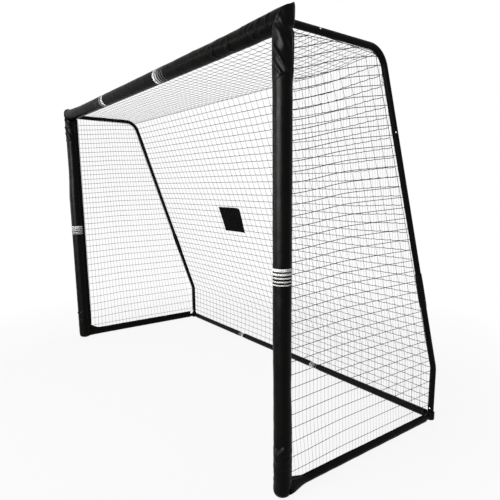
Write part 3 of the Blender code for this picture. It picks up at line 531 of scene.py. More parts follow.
def eased(obj, width, segments=3):
    """Bevel on a piece's hard edges."""
    bevel = obj.modifiers.new("edges", "BEVEL")
    bevel.width = width
    bevel.segments = segments
    bevel.limit_method = "ANGLE"
    bevel.angle_limit = math.radians(35)


# Folds in the sheeting

def slack(point, size, stretch=(1, 1, 1)):
    """Gentle hollows, between -1 and 1."""
    return noise.noise(Vector(part / size * by for part, by in zip(point, stretch)))


def ridged(value):
    """Sharp ridges from a smooth noise value."""
    return (1 - min(1.0, abs(value) * 2.2)) ** 3


def fold(place, line, width, height):
    """Rise of one fold that runs along a line, on the unrolled cover."""
    nearest = FAR
    for first, second in zip(line, line[1:]):
        way = second - first
        share = min(1.0, max(0.0, (place - first).dot(way) / way.length_squared))
        nearest = min(nearest, (place - first - way * share).length)
    return height * math.exp(-(nearest / width) ** 2)


def unrolled(*points):
    """Points of (degrees round, height) as places on the unrolled cover."""
    return [Vector((math.radians(degrees) * PAD_RADIUS, height)) for degrees, height in points]


PINCH_Z = 1.933           # where the right hood is drawn in just under the arm
PINCH_HALF = 0.009
PINCH_DEPTH = 0.010
PINCH_WAY = 52            # degrees round the post, +X is 0

# Folds listed one by one: line, width and height. Degrees run from +X, with -90 facing the front.
FOOT_FOLDS = (
    (unrolled((-91, 0.235), (-62, 0.216), (-28, 0.247)), 0.0040, 0.0074),
    (unrolled((-80, 0.175), (-40, 0.160)), 0.006, 0.0018),
    (unrolled((-60, 0.140), (-20, 0.150)), 0.006, 0.0015),
    (unrolled((-20, 0.240), (10, 0.205)), 0.005, 0.0020),
)
HOOD_FOLDS = (
    (unrolled((-94, 1.871), (-54, 1.822), (-24, 1.774)), 0.0060, 0.0056),
    (unrolled((-98, 1.822), (-70, 1.790), (-48, 1.764)), 0.0052, 0.0046),
    (unrolled((-84, 1.930), (-58, 1.905), (-30, 1.868)), 0.0110, 0.0052),
    (unrolled((-66, 2.010), (-84, 1.985), (-100, 1.962)), 0.0055, 0.0042),
    (unrolled((-46, 2.000), (-62, 1.975), (-78, 1.952)), 0.0055, 0.0042),
    (unrolled((10, 1.900), (25, 1.800)), 0.0060, 0.0025),
    (unrolled((60, 1.930), (45, 1.840), (30, 1.775)), 0.0060, 0.0030),
)


def post_rise(point, degrees, sign):
    """How far a post's cover stands off its round shape at a point."""
    height = point.z
    rise = 0.0007 * slack(point, 0.050) + 0.0005 * slack(point, 0.020, (1, 1, 0.5))
    place = Vector((math.radians(degrees) * PAD_RADIUS, height))
    hood_edge = HOOD_END + 0.006 * math.sin(math.radians(degrees) * 7 + sign) * ease(abs(degrees), 0, 40)
    if height > HOOD_END - 0.03:
        gathered = ease(height, hood_edge - 0.002, hood_edge + 0.003)
        turned_place = Vector((place.x * 0.89 + place.y * 0.46, place.y * 0.89 - place.x * 0.46, sign * 3))
        pleat = noise.noise(Vector((turned_place.x / 0.013, turned_place.y / 0.075, turned_place.z)))
        rise += gathered * (0.0014 + 0.0009 * ridged(pleat) + 0.0010 * pleat)
        rise += gathered * max(fold(place, *entry) for entry in HOOD_FOLDS)
        if sign > 0:
            facing = max(0.0, math.cos(math.radians(degrees - PINCH_WAY)))
            rise -= PINCH_DEPTH * facing ** 2 * math.exp(-((height - PINCH_Z) / PINCH_HALF) ** 2)
    if height < 0.27:
        loose = ease(height, 0.27, 0.21)
        rise += loose * (0.0006 + 0.0014 * slack(point, 0.030, (1, 1, 1.6)))
        rise += max(fold(place, *entry) for entry in FOOT_FOLDS)
    return rise


def crossbar_creases():
    """Creases round the crossbar: a few listed near one end, the rest at random."""
    chance = random.Random(11)
    creases = []
    by_hand = ((1.305, 22, -48, 0.022), (1.358, 34, -40, 0.024), (1.412, 40, -12, 0.010),
               (1.140, -20, -70, 0.030), (0.972, 10, -30, 0.012), (0.998, 12, -30, -0.012))
    for middle_x, high, low, bow in by_hand:
        creases.append((middle_x, high, low, bow, 0.0044, 0.0034))
    for _ in range(44):
        middle_x = chance.uniform(-1.36, 1.36)
        high = chance.uniform(-10, 60)
        low = high - chance.uniform(40, 110)
        bow = chance.uniform(-0.02, 0.03)
        strength = 0.0005 + 0.0009 * ease(middle_x, -0.2, 1.2)
        creases.append((middle_x, high, low, bow, chance.uniform(0.004, 0.009), strength))
    lines = []
    for middle_x, high, low, bow, width, strength in creases:
        degrees = [high + (low - high) * step / 5 for step in range(6)]
        line = [Vector((math.radians(angle) * PAD_RADIUS, middle_x - bow * (1 - (step / 2.5 - 1) ** 2)))
                for step, angle in enumerate(degrees)]
        lines.append((middle_x, line, width, strength))
    return lines


CROSSBAR_CREASES = crossbar_creases()
BAND_SPANS = (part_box("crossbar_band_left"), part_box("crossbar_band_right"))


def crossbar_rise(point, degrees):
    """How far the crossbar's cover stands off its round shape at a point."""
    place = Vector((math.radians(degrees) * PAD_RADIUS, point.x))
    slackness = 0.0008 + 0.0012 * ease(point.x, 0.2, 1.2)
    rise = slackness * (0.3 + slack(point, 0.060, (0.7, 1, 1)))
    for middle_x, line, width, strength in CROSSBAR_CREASES:
        if abs(point.x - middle_x) < 0.055:
            rise += fold(place, line, width, strength)
    for low, high in BAND_SPANS:
        held = ease(point.x, low.x - 0.02, low.x) * ease(point.x, high.x + 0.02, high.x)
        rise *= 1 - held
    return rise


# Padding covers

def cover_profile(radius, flap, lean=0.0):
    """Outline of a wrapped cover as (across, back) points, each with its way out.

    It starts at the flap's tip, goes down one side, round the body and up the other side."""
    back = Vector((math.sin(lean), math.cos(lean)))
    tip = back * (radius + flap)
    right = Vector((back.y, -back.x))
    gap = math.asin(FLAP_HALF / radius)
    root = back * radius
    begin = math.atan2(back.y, back.x)
    outline = []
    for step in range(FLAP_STEPS):
        outline.append(tip.lerp(root, step / FLAP_STEPS) + right * FLAP_HALF)
    for step in range(ROUND_STEPS + 1):
        angle = begin - gap - (2 * math.pi - 2 * gap) * step / ROUND_STEPS
        outline.append(Vector((math.cos(angle), math.sin(angle))) * radius)
    for step in range(1, FLAP_STEPS + 1):
        outline.append(root.lerp(tip, step / FLAP_STEPS) - right * FLAP_HALF)
    blend = FLAP_STEPS + 5
    for _ in range(3):
        before = list(outline)
        for index in (*range(1, blend), *range(len(outline) - blend, len(outline) - 1)):
            outline[index] = before[index] / 2 + (before[index - 1] + before[index + 1]) / 4
    ways = []
    for index in range(len(outline)):
        chord = outline[(index + 1) % len(outline)] - outline[index - 1]
        ways.append(Vector((-chord.y, chord.x)).normalized())
    return list(zip(outline, ways))


# Loose hood over each post: its lift, the puffed left corner and the peak of the right one
HOOD_LIFT = {"left": 0.008, "right": 0.0085}
CORNER_ROUND = {"left": 0.041, "right": 0.056}
PUFF_OUT = 0.027
PUFF_UP = 0.017
PEAK_BACK = 0.026
PEAK_WIDTH = 0.020
PEAK_OUT = 0.0085
PEAK_UP = 0.022
SHOULDER_OUT = 0.0065


def corner_shape(point, side, sign):
    """Pull the padding's outer corner round, and lift the loose hood over it."""
    out = sign * point.x - POST_X
    up = point.z - CROSSBAR_Z
    if out > 0 and up > 0:
        reach = (out ** 4 + up ** 4) ** 0.25
        limit = CORNER_ROUND[side]
        if reach > limit:
            out *= limit / reach
            up *= limit / reach
    up += HOOD_LIFT[side] * ease(out, -0.42, -0.05) * ease(up, -0.005, 0.038)
    if side == "left":
        puff = ease(out + up, 0.0, 0.05)
        out += PUFF_OUT * puff
        up += PUFF_UP * puff
    else:
        behind = (point.y - FRONT_Y - PEAK_BACK) / PEAK_WIDTH
        flank = math.exp(-behind * behind)
        peak = flank * ease(out + up, 0.020, 0.060)
        shoulder = SHOULDER_OUT * flank * (1 - peak) * ease(up, -0.055, -0.030) * ease(out, 0.0, 0.02)
        out += PEAK_OUT * peak + shoulder
        up += PEAK_UP * peak
    return Vector((sign * (POST_X + out), point.y, CROSSBAR_Z + up))


# Foot of a post's cover: share of the radius and height, from the middle of the base outwards
FOOT_PROFILE = ((0.03, 0.0006), (0.30, 0.0002), (0.52, 0.0002), (0.68, 0.0014), (0.80, 0.0045),
                (0.89, 0.0095), (0.95, 0.0155), (0.985, 0.0220), (1.0, 0.0300))


def hanging(side, degrees, height):
    """How far a post's cover stands off by hanging to one side."""
    return sum(amount * ease(height, start, full) * (1 + math.cos(math.radians(degrees - toward)))
               for amount, toward, start, full in COVER_HANG[side])


def build_post_cover(side, sign):
    """Wrapped cover of a post, from its closed foot to the mitre under the crossbar's cover."""
    lean = -sign * FLAP_ANGLE[side]
    flapped = cover_profile(PAD_RADIUS, POST_FLAP, lean)
    bare = cover_profile(PAD_RADIUS, 0.0004, lean)
    bulk = POST_BULK[side]
    ring_top = middle("post_band_" + side).z + RING_REACH / 2
    heights = stations(0.035, (0.10, 0.005), (0.26, 0.0028), (0.90, 0.011), (1.05, 0.008), (1.72, 0.011),
                       (CROSSBAR_Z, 0.0028))
    rings = [*FOOT_PROFILE, *((1.0, height) for height in heights)]
    axis = Vector((sign * POST_X, COVER_Y, 0))

    def point_at(column, row):
        share, height = rings[row]
        weight = ease(height, 0.070, 0.125)
        (plain, way), (shaped, shaped_way) = bare[column], flapped[column]
        place = plain.lerp(shaped, weight)
        out = way.lerp(shaped_way, weight).normalized()
        outward = sign * place.x
        top = CROSSBAR_Z + outward - FIT_GAP
        z = height + (top - CROSSBAR_Z) * ease(height, CROSSBAR_Z - MITRE_LENGTH, CROSSBAR_Z)
        point = axis + Vector((place.x * share, place.y * share, z))
        degrees = math.degrees(math.atan2(place.y, place.x))
        quiet = ease(abs(z - ring_top + RING_REACH / 2), RING_REACH / 2, RING_REACH / 2 + 0.02)
        seam = ease(top - z, 0.0, SEAM_LENGTH)
        on_flap = ease(place.length, PAD_RADIUS + 0.016, PAD_RADIUS + 0.003)
        rise = post_rise(point, degrees, sign) * quiet + bulk + hanging(side, degrees, z)
        rise *= seam * on_flap * share
        ruffle = 0.0022 * slack(point, 0.09) * (1 - on_flap) * weight
        point += Vector((out.x * rise + ruffle, out.y * rise, 0))
        return corner_shape(point, side, sign)

    work = lofted(len(flapped), len(rings) - 1, point_at)
    base = [edge for edge in work.edges if edge.is_boundary and edge.verts[0].co.z < 0.005]
    bmesh.ops.holes_fill(work, edges=base)
    pierce(work, axis + Vector((0, 0, BAR_Z)), BACK, SIDE_TUBE_RADIUS + 0.0012, 1)
    pierce(work, axis + Vector((0, 0, CROSSBAR_Z)), BACK, ARM_HOLE, 1)
    cover = piece("post_cover_" + side, work, "pvc_sheeting", ["sleeve_post_" + side], wall=COVER_WALL)


def build_crossbar_cover():
    """Wrapped cover of the crossbar, mitred onto the covers of both posts."""
    profile = cover_profile(PAD_RADIUS, CROSSBAR_FLAP)
    places = stations(-POST_X, (-1.25, 0.004), (0.25, 0.009), (0.70, 0.006), (POST_X, 0.0038))
    axis = Vector((0, COVER_Y, CROSSBAR_Z))

    def point_at(column, row):
        place, way = profile[column]
        nominal = places[row]
        sign = 1 if nominal > 0 else -1
        x = nominal + sign * (place.x + FIT_GAP) * ease(abs(nominal), POST_X - MITRE_LENGTH, POST_X)
        point = axis + Vector((x, place.y, place.x))
        degrees = math.degrees(math.atan2(place.x, -place.y))
        end = POST_X + place.x + FIT_GAP
        seam = ease(end - abs(x), 0.0, SEAM_LENGTH)
        on_flap = ease(place.length, PAD_RADIUS + 0.020, PAD_RADIUS + 0.004)
        rise = crossbar_rise(point, degrees) + CROSSBAR_BULK * ease(point.x, 1.3, 0.9)
        rise *= seam * on_flap
        ruffle = 0.0030 * slack(point, 0.12) * (1 - on_flap) * seam
        point += Vector((0, way.y * rise, way.x * rise + ruffle))
        return corner_shape(point, "right" if sign > 0 else "left", sign)

    work = lofted(len(profile), len(places) - 1, point_at)
    for side, sign in SIDES:
        pierce(work, axis + Vector((sign * POST_X, 0, 0)), BACK, ARM_HOLE, 1)
    cover = piece("crossbar_cover", work, "pvc_sheeting", ["sleeve_crossbar"], wall=COVER_WALL,
                  finish="crossbar_sheeting")


def foam_tube(name, start, end, node):
    """Foam tube round a front frame tube, closed at its ends."""
    length = (end - start).length
    bore = FRONT_RADIUS + 0.0006
    rim = 0.002
    profile = [(bore, 0), (FOAM_RADIUS - rim, 0), (FOAM_RADIUS, rim), (FOAM_RADIUS, length - rim),
               (FOAM_RADIUS - rim, length), (bore, length), (bore, 0)]
    work = turned(profile, standing_on(end - start, start), 48)
    foam = piece(name, work, "grey_foam", [node])


def build_foam():
    """Foam of both posts and of the crossbar."""
    reach = POST_X - FOAM_RADIUS - FOAM_GAP
    top = CROSSBAR_Z - FOAM_RADIUS - FOAM_GAP
    for side, sign in SIDES:
        x = sign * POST_X
        foam_tube("post_foam_" + side, Vector((x, FRONT_Y, 0.045)), Vector((x, FRONT_Y, top)),
                  "foam_post_" + side)
    foam_tube("crossbar_foam", Vector((-reach, FRONT_Y, CROSSBAR_Z)), Vector((reach, FRONT_Y, CROSSBAR_Z)),
              "foam_crossbar")


def build_side_cover(side, sign):
    """Sleeve of a side ground bar; its loose end widens and hugs the foot of the post."""
    radius = SIDE_RADIUS[side]
    profile = cover_profile(radius, SIDE_FLAP[side])
    places = stations(SIDE_START, (SIDE_START + 0.12, 0.005), (SIDE_END[side], 0.009))

    def point_at(column, row):
        place, way = profile[column]
        y = places[row]
        body = min(place.length / radius, 1.0)
        above = max(0.0, place.y - radius)
        near_post = 1 - ease(y, SIDE_START, SIDE_START + FLARE_LENGTH)
        wide = place.x * (1 + FLARE_WIDE * near_post)
        tall = place.y * (1 + FLARE_TALL * near_post) if place.y > 0 else place.y
        point = Vector((sign * POST_X + wide, y, BAR_Z + tall))
        loose = 0.0010 * slack(point, 0.035, (1, 0.7, 1)) + 0.0006 * ridged(slack(point, 0.05, (1, 0.5, 1)))
        loose *= body if above == 0 else 0
        point += Vector((way.x * loose, 0, max(way.y * loose, -0.0004)))
        ruffle = 1 + 0.16 * slack(point, 0.05)
        lean = above * (SIDE_FLAP_TILT[side] + 0.25 * slack(Vector((0, y, sign)), 0.11)) * (1 - near_post)
        point.x += sign * lean
        point.z += above * (ruffle - 1)
        point.z = max(point.z, 0.0006)
        return point

    work = lofted(len(profile), len(places) - 1, point_at)
    cover = piece("side_cover_" + side, work, "pvc_sheeting", ["sleeve_side_bar_" + side], wall=SIDE_WALL)


# Printed rings

def ring_print(name, node, origin, way, radius, length, opening, finish="light_band"):
    """Five printed rings side by side round a tube or cover, the widest at the origin."""
    scale = length / RING_REACH
    frame_matrix = standing_on(way, origin)
    away = (frame_matrix.to_3x3().inverted() @ Vector(opening)).normalized()
    centre = math.atan2(away.y, away.x)
    work = bmesh.new()
    for start, width in zip(RING_STARTS, RING_WIDTHS):
        def point_at(column, row, start=start, width=width):
            angle = centre + (2 * math.pi - RING_ARC) / 2 + RING_ARC * column / RING_STEPS
            height = (start + width * row / 2) * scale
            return frame_matrix @ Vector((math.cos(angle) * radius, math.sin(angle) * radius, height))
        absorb(work, lofted(RING_STEPS, 2, point_at, loop=False))
    piece(name, work, "light_band", [node], wall=RING_PRINT, grows=0, finish=finish)


def build_rings():
    """Rings on both posts, and on both halves of the crossbar and of the rear bar."""
    for side, sign in SIDES:
        hang, toward = COVER_HANG[side][0][:2]
        shift = Vector((math.cos(math.radians(toward)), math.sin(math.radians(toward)), 0)) * hang
        top = Vector((sign * POST_X, COVER_Y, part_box("post_band_" + side)[1].z + 0.0025)) + shift
        ring_print("post_rings_" + side, "post_band_" + side, top, (0, 0, -1),
                   PAD_RADIUS + POST_BULK[side] + hang + 0.0005, RING_REACH, (-sign * 0.4, 1, 0))
        bars = (
            ("crossbar_rings_", "crossbar_band_", COVER_Y, CROSSBAR_Z, PAD_RADIUS + CROSSBAR_BULK + 0.0004,
             (0, 1, 0), "crossbar_band_"),
            ("rear_rings_", "rear_bar_band_", REAR_Y, BAR_Z, REAR_RADIUS + 0.0032,
             (0, 1, -0.3), "rear_band_"),
        )
        for name, node, y, z, radius, opening, finish in bars:
            low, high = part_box(node + side)
            inner_end = high.x if sign < 0 else low.x
            ring_print(name + side, node + side, Vector((inner_end, y, z)), (sign, 0, 0), radius,
                       high.x - low.x, opening, finish + side)


# Steel tubes

def arm_button_line(sign):
    """Point on the arm's axis below its button, and the button's way."""
    way = Vector((sign * math.cos(ARM_BUTTON_TILT), 0, math.sin(ARM_BUTTON_TILT)))
    return Vector((sign * POST_X, FRONT_Y + ARM_SEAM + BUTTON_OFFSET, CROSSBAR_Z)), way


def slope_button_line(sign):
    """The same for the joint in the slope."""
    forward = Vector((0, SLOPE_WAY.z, -SLOPE_WAY.y))
    way = RIGHT * sign * math.cos(SLOPE_BUTTON_TILT) + forward * math.sin(SLOPE_BUTTON_TILT)
    return slope_point(sign * POST_X, SLOPE_SEAM_Z) + SLOPE_WAY * (BUTTON_OFFSET + FIT_GAP), way


def rolled_radii(line, radius, last=True):
    """Radius at each point of a tube, drawn in a little at its cut ends."""
    radii = [radius] * len(line)
    radii[0] = radius - ROLLED_IN
    if last:
        radii[-1] = radius - ROLLED_IN
    return radii


def steel_tube(name, node, line, radii, side=(1, 0, 0), hole=None):
    """Tube with a wall along a line. A hole is the start and way of a button's line."""
    work = pipe(line, radii, side)
    if hole:
        pierce(work, *hole, BUTTON_HOLE, 2)
    piece(name, work, "coated_steel", [node], wall=TUBE_WALL)


def build_arm(side, sign):
    """Bent roof arm, its lower end swaged into the slope tube."""
    x = sign * POST_X
    start = Vector((x, FRONT_Y + ARM_SEAM, CROSSBAR_Z))
    corner = Vector((x, FRONT_Y + ROOF_DEPTH, CROSSBAR_Z))
    seam = slope_point(x, SLOPE_SEAM_Z)
    line = [start, start + Vector((0, 0.0006, 0))]
    line += fillet(start + Vector((0, 0.002, 0)), corner, seam - SLOPE_WAY * 0.001, BEND_RADIUS, 20, 0.004)
    radii = rolled_radii(line, ARM_RADIUS, last=False)
    line += [seam - SLOPE_WAY * 0.0002, seam + SLOPE_WAY * SLOPE_LAP]
    radii += [ARM_NECK, ARM_NECK]
    steel_tube("arm_tube_" + side, "roof_arm_" + side, line, radii, hole=arm_button_line(sign))


def build_slope(side, sign):
    """Slope tube, from the snap button joint down to the lower joint."""
    x = sign * POST_X
    top = slope_point(x, SLOPE_SEAM_Z) + SLOPE_WAY * 0.0006
    end = slope_point(x, UPRIGHT_SEAM_Z) - SLOPE_WAY * FIT_GAP
    line = [top, top + SLOPE_WAY * 0.0006] + run(top + SLOPE_WAY * 0.002, top + SLOPE_WAY * 0.05, 0.003)
    line += run(top + SLOPE_WAY * 0.06, end - SLOPE_WAY * 0.001, 0.02) + [end]
    steel_tube("slope_pipe_" + side, "slope_tube_" + side, line, rolled_radii(line, SLOPE_RADIUS),
               hole=slope_button_line(sign))


def build_upright(side, sign):
    """Rear upright with its kink, and the sleeve over its joint with the slope tube."""
    x = sign * POST_X
    kink = Vector((x, REAR_Y, KINK_Z))
    foot = Vector((x, REAR_Y, HUB_HEIGHT + FIT_GAP))
    line = fillet(slope_point(x, UPRIGHT_SEAM_Z), kink, foot, KINK_RADIUS, 14, 0.012)
    steel_tube("upright_pipe_" + side, "rear_upright_" + side, line, rolled_radii(line, UPRIGHT_RADIUS))

    half = 0.100
    lip = 0.0178
    swell = 0.0184
    bore = 0.01575
    rim = 0.0012
    profile = [(bore, half - rim), (lip - 0.0006, half), (lip, half - rim), (swell, half - 0.050)]
    profile += [(radius, -height) for radius, height in reversed(profile)] + profile[:1]
    work = turned(profile, standing_on(SLOPE_WAY, slope_point(x, UPRIGHT_SEAM_Z)), 40)
    piece("slope_coupling_" + side, work, "black_plastic", ["slope_joint_sleeve_" + side])


def build_ground_tubes():
    """Side bars, and the rear bar in three parts that push into each other."""
    for side, sign in SIDES:
        x = sign * POST_X
        line = run(Vector((x, FRONT_Y + 0.045, BAR_Z)), Vector((x, REAR_Y - 0.0303, BAR_Z)), 0.03)
        steel_tube("side_tube_" + side, "side_bar_" + side, line, rolled_radii(line, SIDE_TUBE_RADIUS))
    joints = (middle("rear_bar_band_left").x, middle("rear_bar_band_right").x)
    spans = {"left": (max(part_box("rear_bar_left")[0].x, -POST_X), joints[0] - FIT_GAP),
             "middle": (joints[0] + FIT_GAP, joints[1] - FIT_GAP),
             "right": (joints[1] + FIT_GAP, min(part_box("rear_bar_right")[1].x, POST_X))}
    for name, (start, end) in spans.items():
        line = run(Vector((start, REAR_Y, BAR_Z)), Vector((end, REAR_Y, BAR_Z)), 0.03)
        radii = rolled_radii(line, REAR_RADIUS)
        if name == "left":
            line.append(Vector((joints[0] + REAR_LAP, REAR_Y, BAR_Z)))
            radii = radii[:-1] + [REAR_NECK, REAR_NECK]
        if name == "right":
            line.insert(0, Vector((joints[1] - REAR_LAP, REAR_Y, BAR_Z)))
            radii = [REAR_NECK, REAR_NECK] + radii[1:]
        steel_tube("rear_tube_" + name, "rear_bar_" + name, line, radii, side=(0, 0, 1))


# Fittings, bolts and snap buttons

def build_rear_corner(side, sign):
    """Moulded three-way fitting: a hub with necks for the upright and both ground bars."""
    base = Vector((sign * POST_X, REAR_Y, 0))
    axis = Vector((sign * POST_X, REAR_Y, BAR_Z))
    inward = Vector((-sign, 0, 0))
    parts = [
        rod(base, UP, HUB_HEIGHT, HUB_RADIUS, 0.0030),
        rod(axis, -BACK, 0.0300, SIDE_TUBE_RADIUS + 0.0012, 0.0015),
        rod(axis, inward, 0.0300, REAR_RADIUS + 0.0015, 0.0015),
        rod(axis, -BACK, 0.0900, 0.0140, 0.0010),
        rod(axis, inward, 0.0900, 0.0130, 0.0010),
        rod(axis, UP, HUB_HEIGHT + 0.060 - BAR_Z, 0.0140, 0.0010),
    ]
    obj = piece("rear_fitting_" + side, fused(parts), "black_plastic", ["corner_rear_" + side])
    eased(obj, 0.0012)


def build_top_corner(side, sign):
    """Three-way steel fitting inside the padding; its arm collar shows behind the flap."""
    hub = Vector((sign * POST_X, FRONT_Y, CROSSBAR_Z))
    inward = Vector((-sign, 0, 0))
    parts = [
        rod(hub, BACK, ARM_SEAM - FIT_GAP, ARM_RADIUS),
        rod(hub, inward, 0.060, FRONT_RADIUS),
        rod(hub, -UP, 0.060, FRONT_RADIUS),
        rod(hub, inward, 0.140, FRONT_NECK),
        rod(hub, -UP, 0.140, FRONT_NECK),
    ]
    ball = bmesh.new()
    bmesh.ops.create_uvsphere(ball, u_segments=32, v_segments=20, radius=FRONT_RADIUS - 0.0004,
                              matrix=Matrix.Translation(hub))
    parts.append(ball)
    obj = piece("top_fitting_" + side, fused(parts), "coated_steel", ["corner_top_" + side])
    eased(obj, 0.0004, 2)


def build_foot(side, sign):
    """Steel elbow inside the foot of the padding."""
    low = 0.0022
    base = Vector((sign * POST_X, FRONT_Y, low))
    axis = Vector((sign * POST_X, FRONT_Y, BAR_Z))
    parts = [
        rod(base, UP, FOOT_TOP - low, FRONT_RADIUS, 0.003),
        rod(axis, BACK, 0.0447, SIDE_TUBE_RADIUS),
        rod(base + UP * 0.01, UP, 0.160, FRONT_NECK),
    ]
    piece("foot_fitting_" + side, fused(parts), "coated_steel", ["foot_elbow_" + side])


def build_bolt(side, sign):
    """Domed bolt head in front of the upright, nut and thread end behind it."""
    place = Vector((sign * POST_X, REAR_Y, BOLT_Z))
    grip = UPRIGHT_RADIUS + FIT_GAP
    head = [(0, -grip - 0.0025), (0.0022, -grip - 0.0024), (0.0042, -grip - 0.0019), (0.0055, -grip - 0.0011),
            (0.0060, -grip - 0.0004), (0.0060, -grip), (0.0030, -grip), (0.0030, grip + 0.0072),
            (0.0026, grip + 0.0080), (0, grip + 0.0080)]
    piece("upright_bolt_" + side, turned(head, standing_on(BACK, place), 32), "zinc_steel",
          ["rear_bolt_" + side])
    nut = [(0.0032, grip + 0.0001), (0.0050, grip + 0.0001), (0.0055, grip + 0.0006), (0.0055, grip + 0.0044),
           (0.0050, grip + 0.0050), (0.0032, grip + 0.0050), (0.0032, grip + 0.0001)]
    piece("upright_nut_" + side, turned(nut, standing_on(BACK, place), 6), "zinc_steel",
          ["rear_nut_" + side], sharp=20)


def build_button(joint, side, sign):
    """Domed snap button on its free leaf, inside the joint."""
    foot, way = arm_button_line(sign) if joint == "arm" else slope_button_line(sign)
    axis = BACK if joint == "arm" else SLOPE_WAY
    top = ARM_RADIUS + BUTTON_PROUD
    shoulder = top - BUTTON_DOME
    dome = [(0, LEAF_LINE), (BUTTON_RADIUS, LEAF_LINE)]
    dome += [(BUTTON_RADIUS * math.cos(angle), shoulder + BUTTON_DOME * math.sin(angle))
             for angle in (0, math.pi / 10, math.pi / 5, 0.3 * math.pi, 0.4 * math.pi)]
    dome += [(0, top)]
    knob = turned(dome, standing_on(way, foot), 28)
    leaf = bmesh.new()
    bmesh.ops.create_cube(leaf, size=1.0)
    bmesh.ops.scale(leaf, vec=LEAF_SIZE, verts=leaf.verts)
    bmesh.ops.translate(leaf, vec=(LEAF_SHIFT, 0, 0), verts=leaf.verts)
    turn = Matrix((axis, way.cross(axis), way)).transposed().to_4x4()
    turn.translation = foot + way * LEAF_LINE
    bmesh.ops.transform(leaf, matrix=turn, verts=leaf.verts)
    body = "button_" + joint + "_" + side
    piece(body, fused([knob, leaf]), "zinc_steel", ["snap_" + body], body=body)


# Net

def cord_mesh(work, lines, radius, sides=0):
    """Add cords of one thickness along lines of points."""
    curve = bpy.data.curves.new("cords", "CURVE")
    curve.dimensions = "3D"
    curve.bevel_depth = radius
    curve.bevel_resolution = sides
    curve.use_fill_caps = True
    for line in lines:
        spline = curve.splines.new("POLY")
        spline.points.add(len(line) - 1)
        for place, point in zip(spline.points, line):
            place.co = (*point, 1.0)
    obj = added("cords", curve)
    part = evaluated(obj)
    bpy.data.objects.remove(obj, do_unlink=True)
    bmesh.ops.remove_doubles(part, verts=part.verts, dist=SAME)
    absorb(work, part)


def drooping(points, dip):
    """A cord through its knots that droops a little between each two of them."""
    line = []
    for first, second in zip(points, points[1:]):
        sag = dip * min(1.0, (second - first).length / 0.05)
        for step in range(DROOP_STEPS):
            share = step / DROOP_STEPS
            line.append(first.lerp(second, share) - UP * sag * 4 * share * (1 - share))
    return line + [points[-1]]


def net_piece(name, nodes, rows, columns, borders, cords, dip=DIP):
    """One panel of net: drooping rows, thin columns, a thicker border and small knots."""
    work = bmesh.new()
    cord_mesh(work, [drooping(row, dip) for row in rows], cords[0])
    cord_mesh(work, columns, cords[1])
    cord_mesh(work, borders, BORDER_CORD, 1)
    for row in rows:
        knots = bmesh.new()
        for knot in row[1:-1]:
            bmesh.ops.create_icosphere(knots, subdivisions=1, radius=cords[0] * 1.5,
                                       matrix=Matrix.Translation(knot))
        absorb(work, knots)
    piece(name, work, "netting", nodes, sharp=60)


def spaced(length, pitch_at):
    """Places along a length whose spacing follows a rule, drawn in to end on the length."""
    places = [0.0]
    while places[-1] < length:
        places.append(places[-1] + pitch_at(places[-1]))
    return [place * length / places[-1] for place in places]


def net_across(share, width):
    """Place across the goal of a column, a little wider spaced at the left."""
    return width * (1.04 * share - 0.04 * share * share - 0.5)


def wander(point, amount):
    """Small irregularity of a knot's place."""
    return Vector((noise.noise(point * 7.0), noise.noise(point * 7.0 + Vector((9, 9, 9))),
                   noise.noise(point * 7.0 + Vector((5, 1, 3))))) * amount


def crease_sag(share):
    """How far the crease has slipped down the slope at a share of the goal's width."""
    return CREASE_DROP * share * ease(share, 1.0, 0.86)


# Crease under the arms' bend, kink and lower end of the rear net
NET_CREASE = Vector((0, BEND_Y + BEND_RADIUS * math.sin(BEND_TURN / 2),
                     BEND_Z + BEND_RADIUS * math.cos(BEND_TURN / 2)))
NET_KINK = Vector((0, REAR_Y, KINK_Z))
NET_FOOT = Vector((0, REAR_Y, BAR_Z + REAR_RADIUS + 0.004))


def knotted(length, pitch_at, count, soft, knot_at):
    """Rows of knots down a flat panel, and its inner and outer columns.

    knot_at gives a knot's place and its free shift, which fades out near the panel's edges."""
    rows = []
    for drop in spaced(length, pitch_at):
        row = []
        for column in range(count + 1):
            share = column / count
            edge = min(share, 1 - share, drop / length, 1 - drop / length)
            place, shift = knot_at(share, drop)
            row.append(place + shift * ease(edge, 0, soft))
        rows.append(row)
    columns = [list(column) for column in zip(*rows)]
    return rows, columns[1:-1], [columns[0], columns[-1]]


def build_rear_panel(name, node, top, low, pitch_at, hung=False):
    """Flat panel of the rear net. A hung panel starts at the sagging crease."""
    way = low - top
    length = way.length
    way.normalize()
    out = Vector((0, way.z, -way.y))
    width = 2 * (POST_X - NET_CLEAR)

    def knot_at(share, drop):
        sag = crease_sag(share) * (1 - drop / length) if hung else 0
        place = top + way * (drop + sag) + Vector((net_across(share, width), 0, 0))
        belly = -0.010 * math.sin(math.pi * share) * math.sin(math.pi * drop / length)
        return place, wander(place, 0.0016) + out * belly

    rows, columns, borders = knotted(length, pitch_at, NET_COLUMNS, 0.06, knot_at)
    if hung:
        borders.append(rows[0])
    net_piece(name, [node], rows[1:], columns, borders, REAR_CORDS)


def build_rear_net():
    """Slope net and lower rear net, hung from the crease to the rear bar."""
    build_rear_panel("slope_netting", "net_slope", NET_CREASE, NET_KINK,
                     lambda place: 0.0468 + 0.0098 * (place / 1.7) ** 1.2, hung=True)
    build_rear_panel("lower_netting", "net_lower", NET_KINK, NET_FOOT, lambda place: 0.0465)


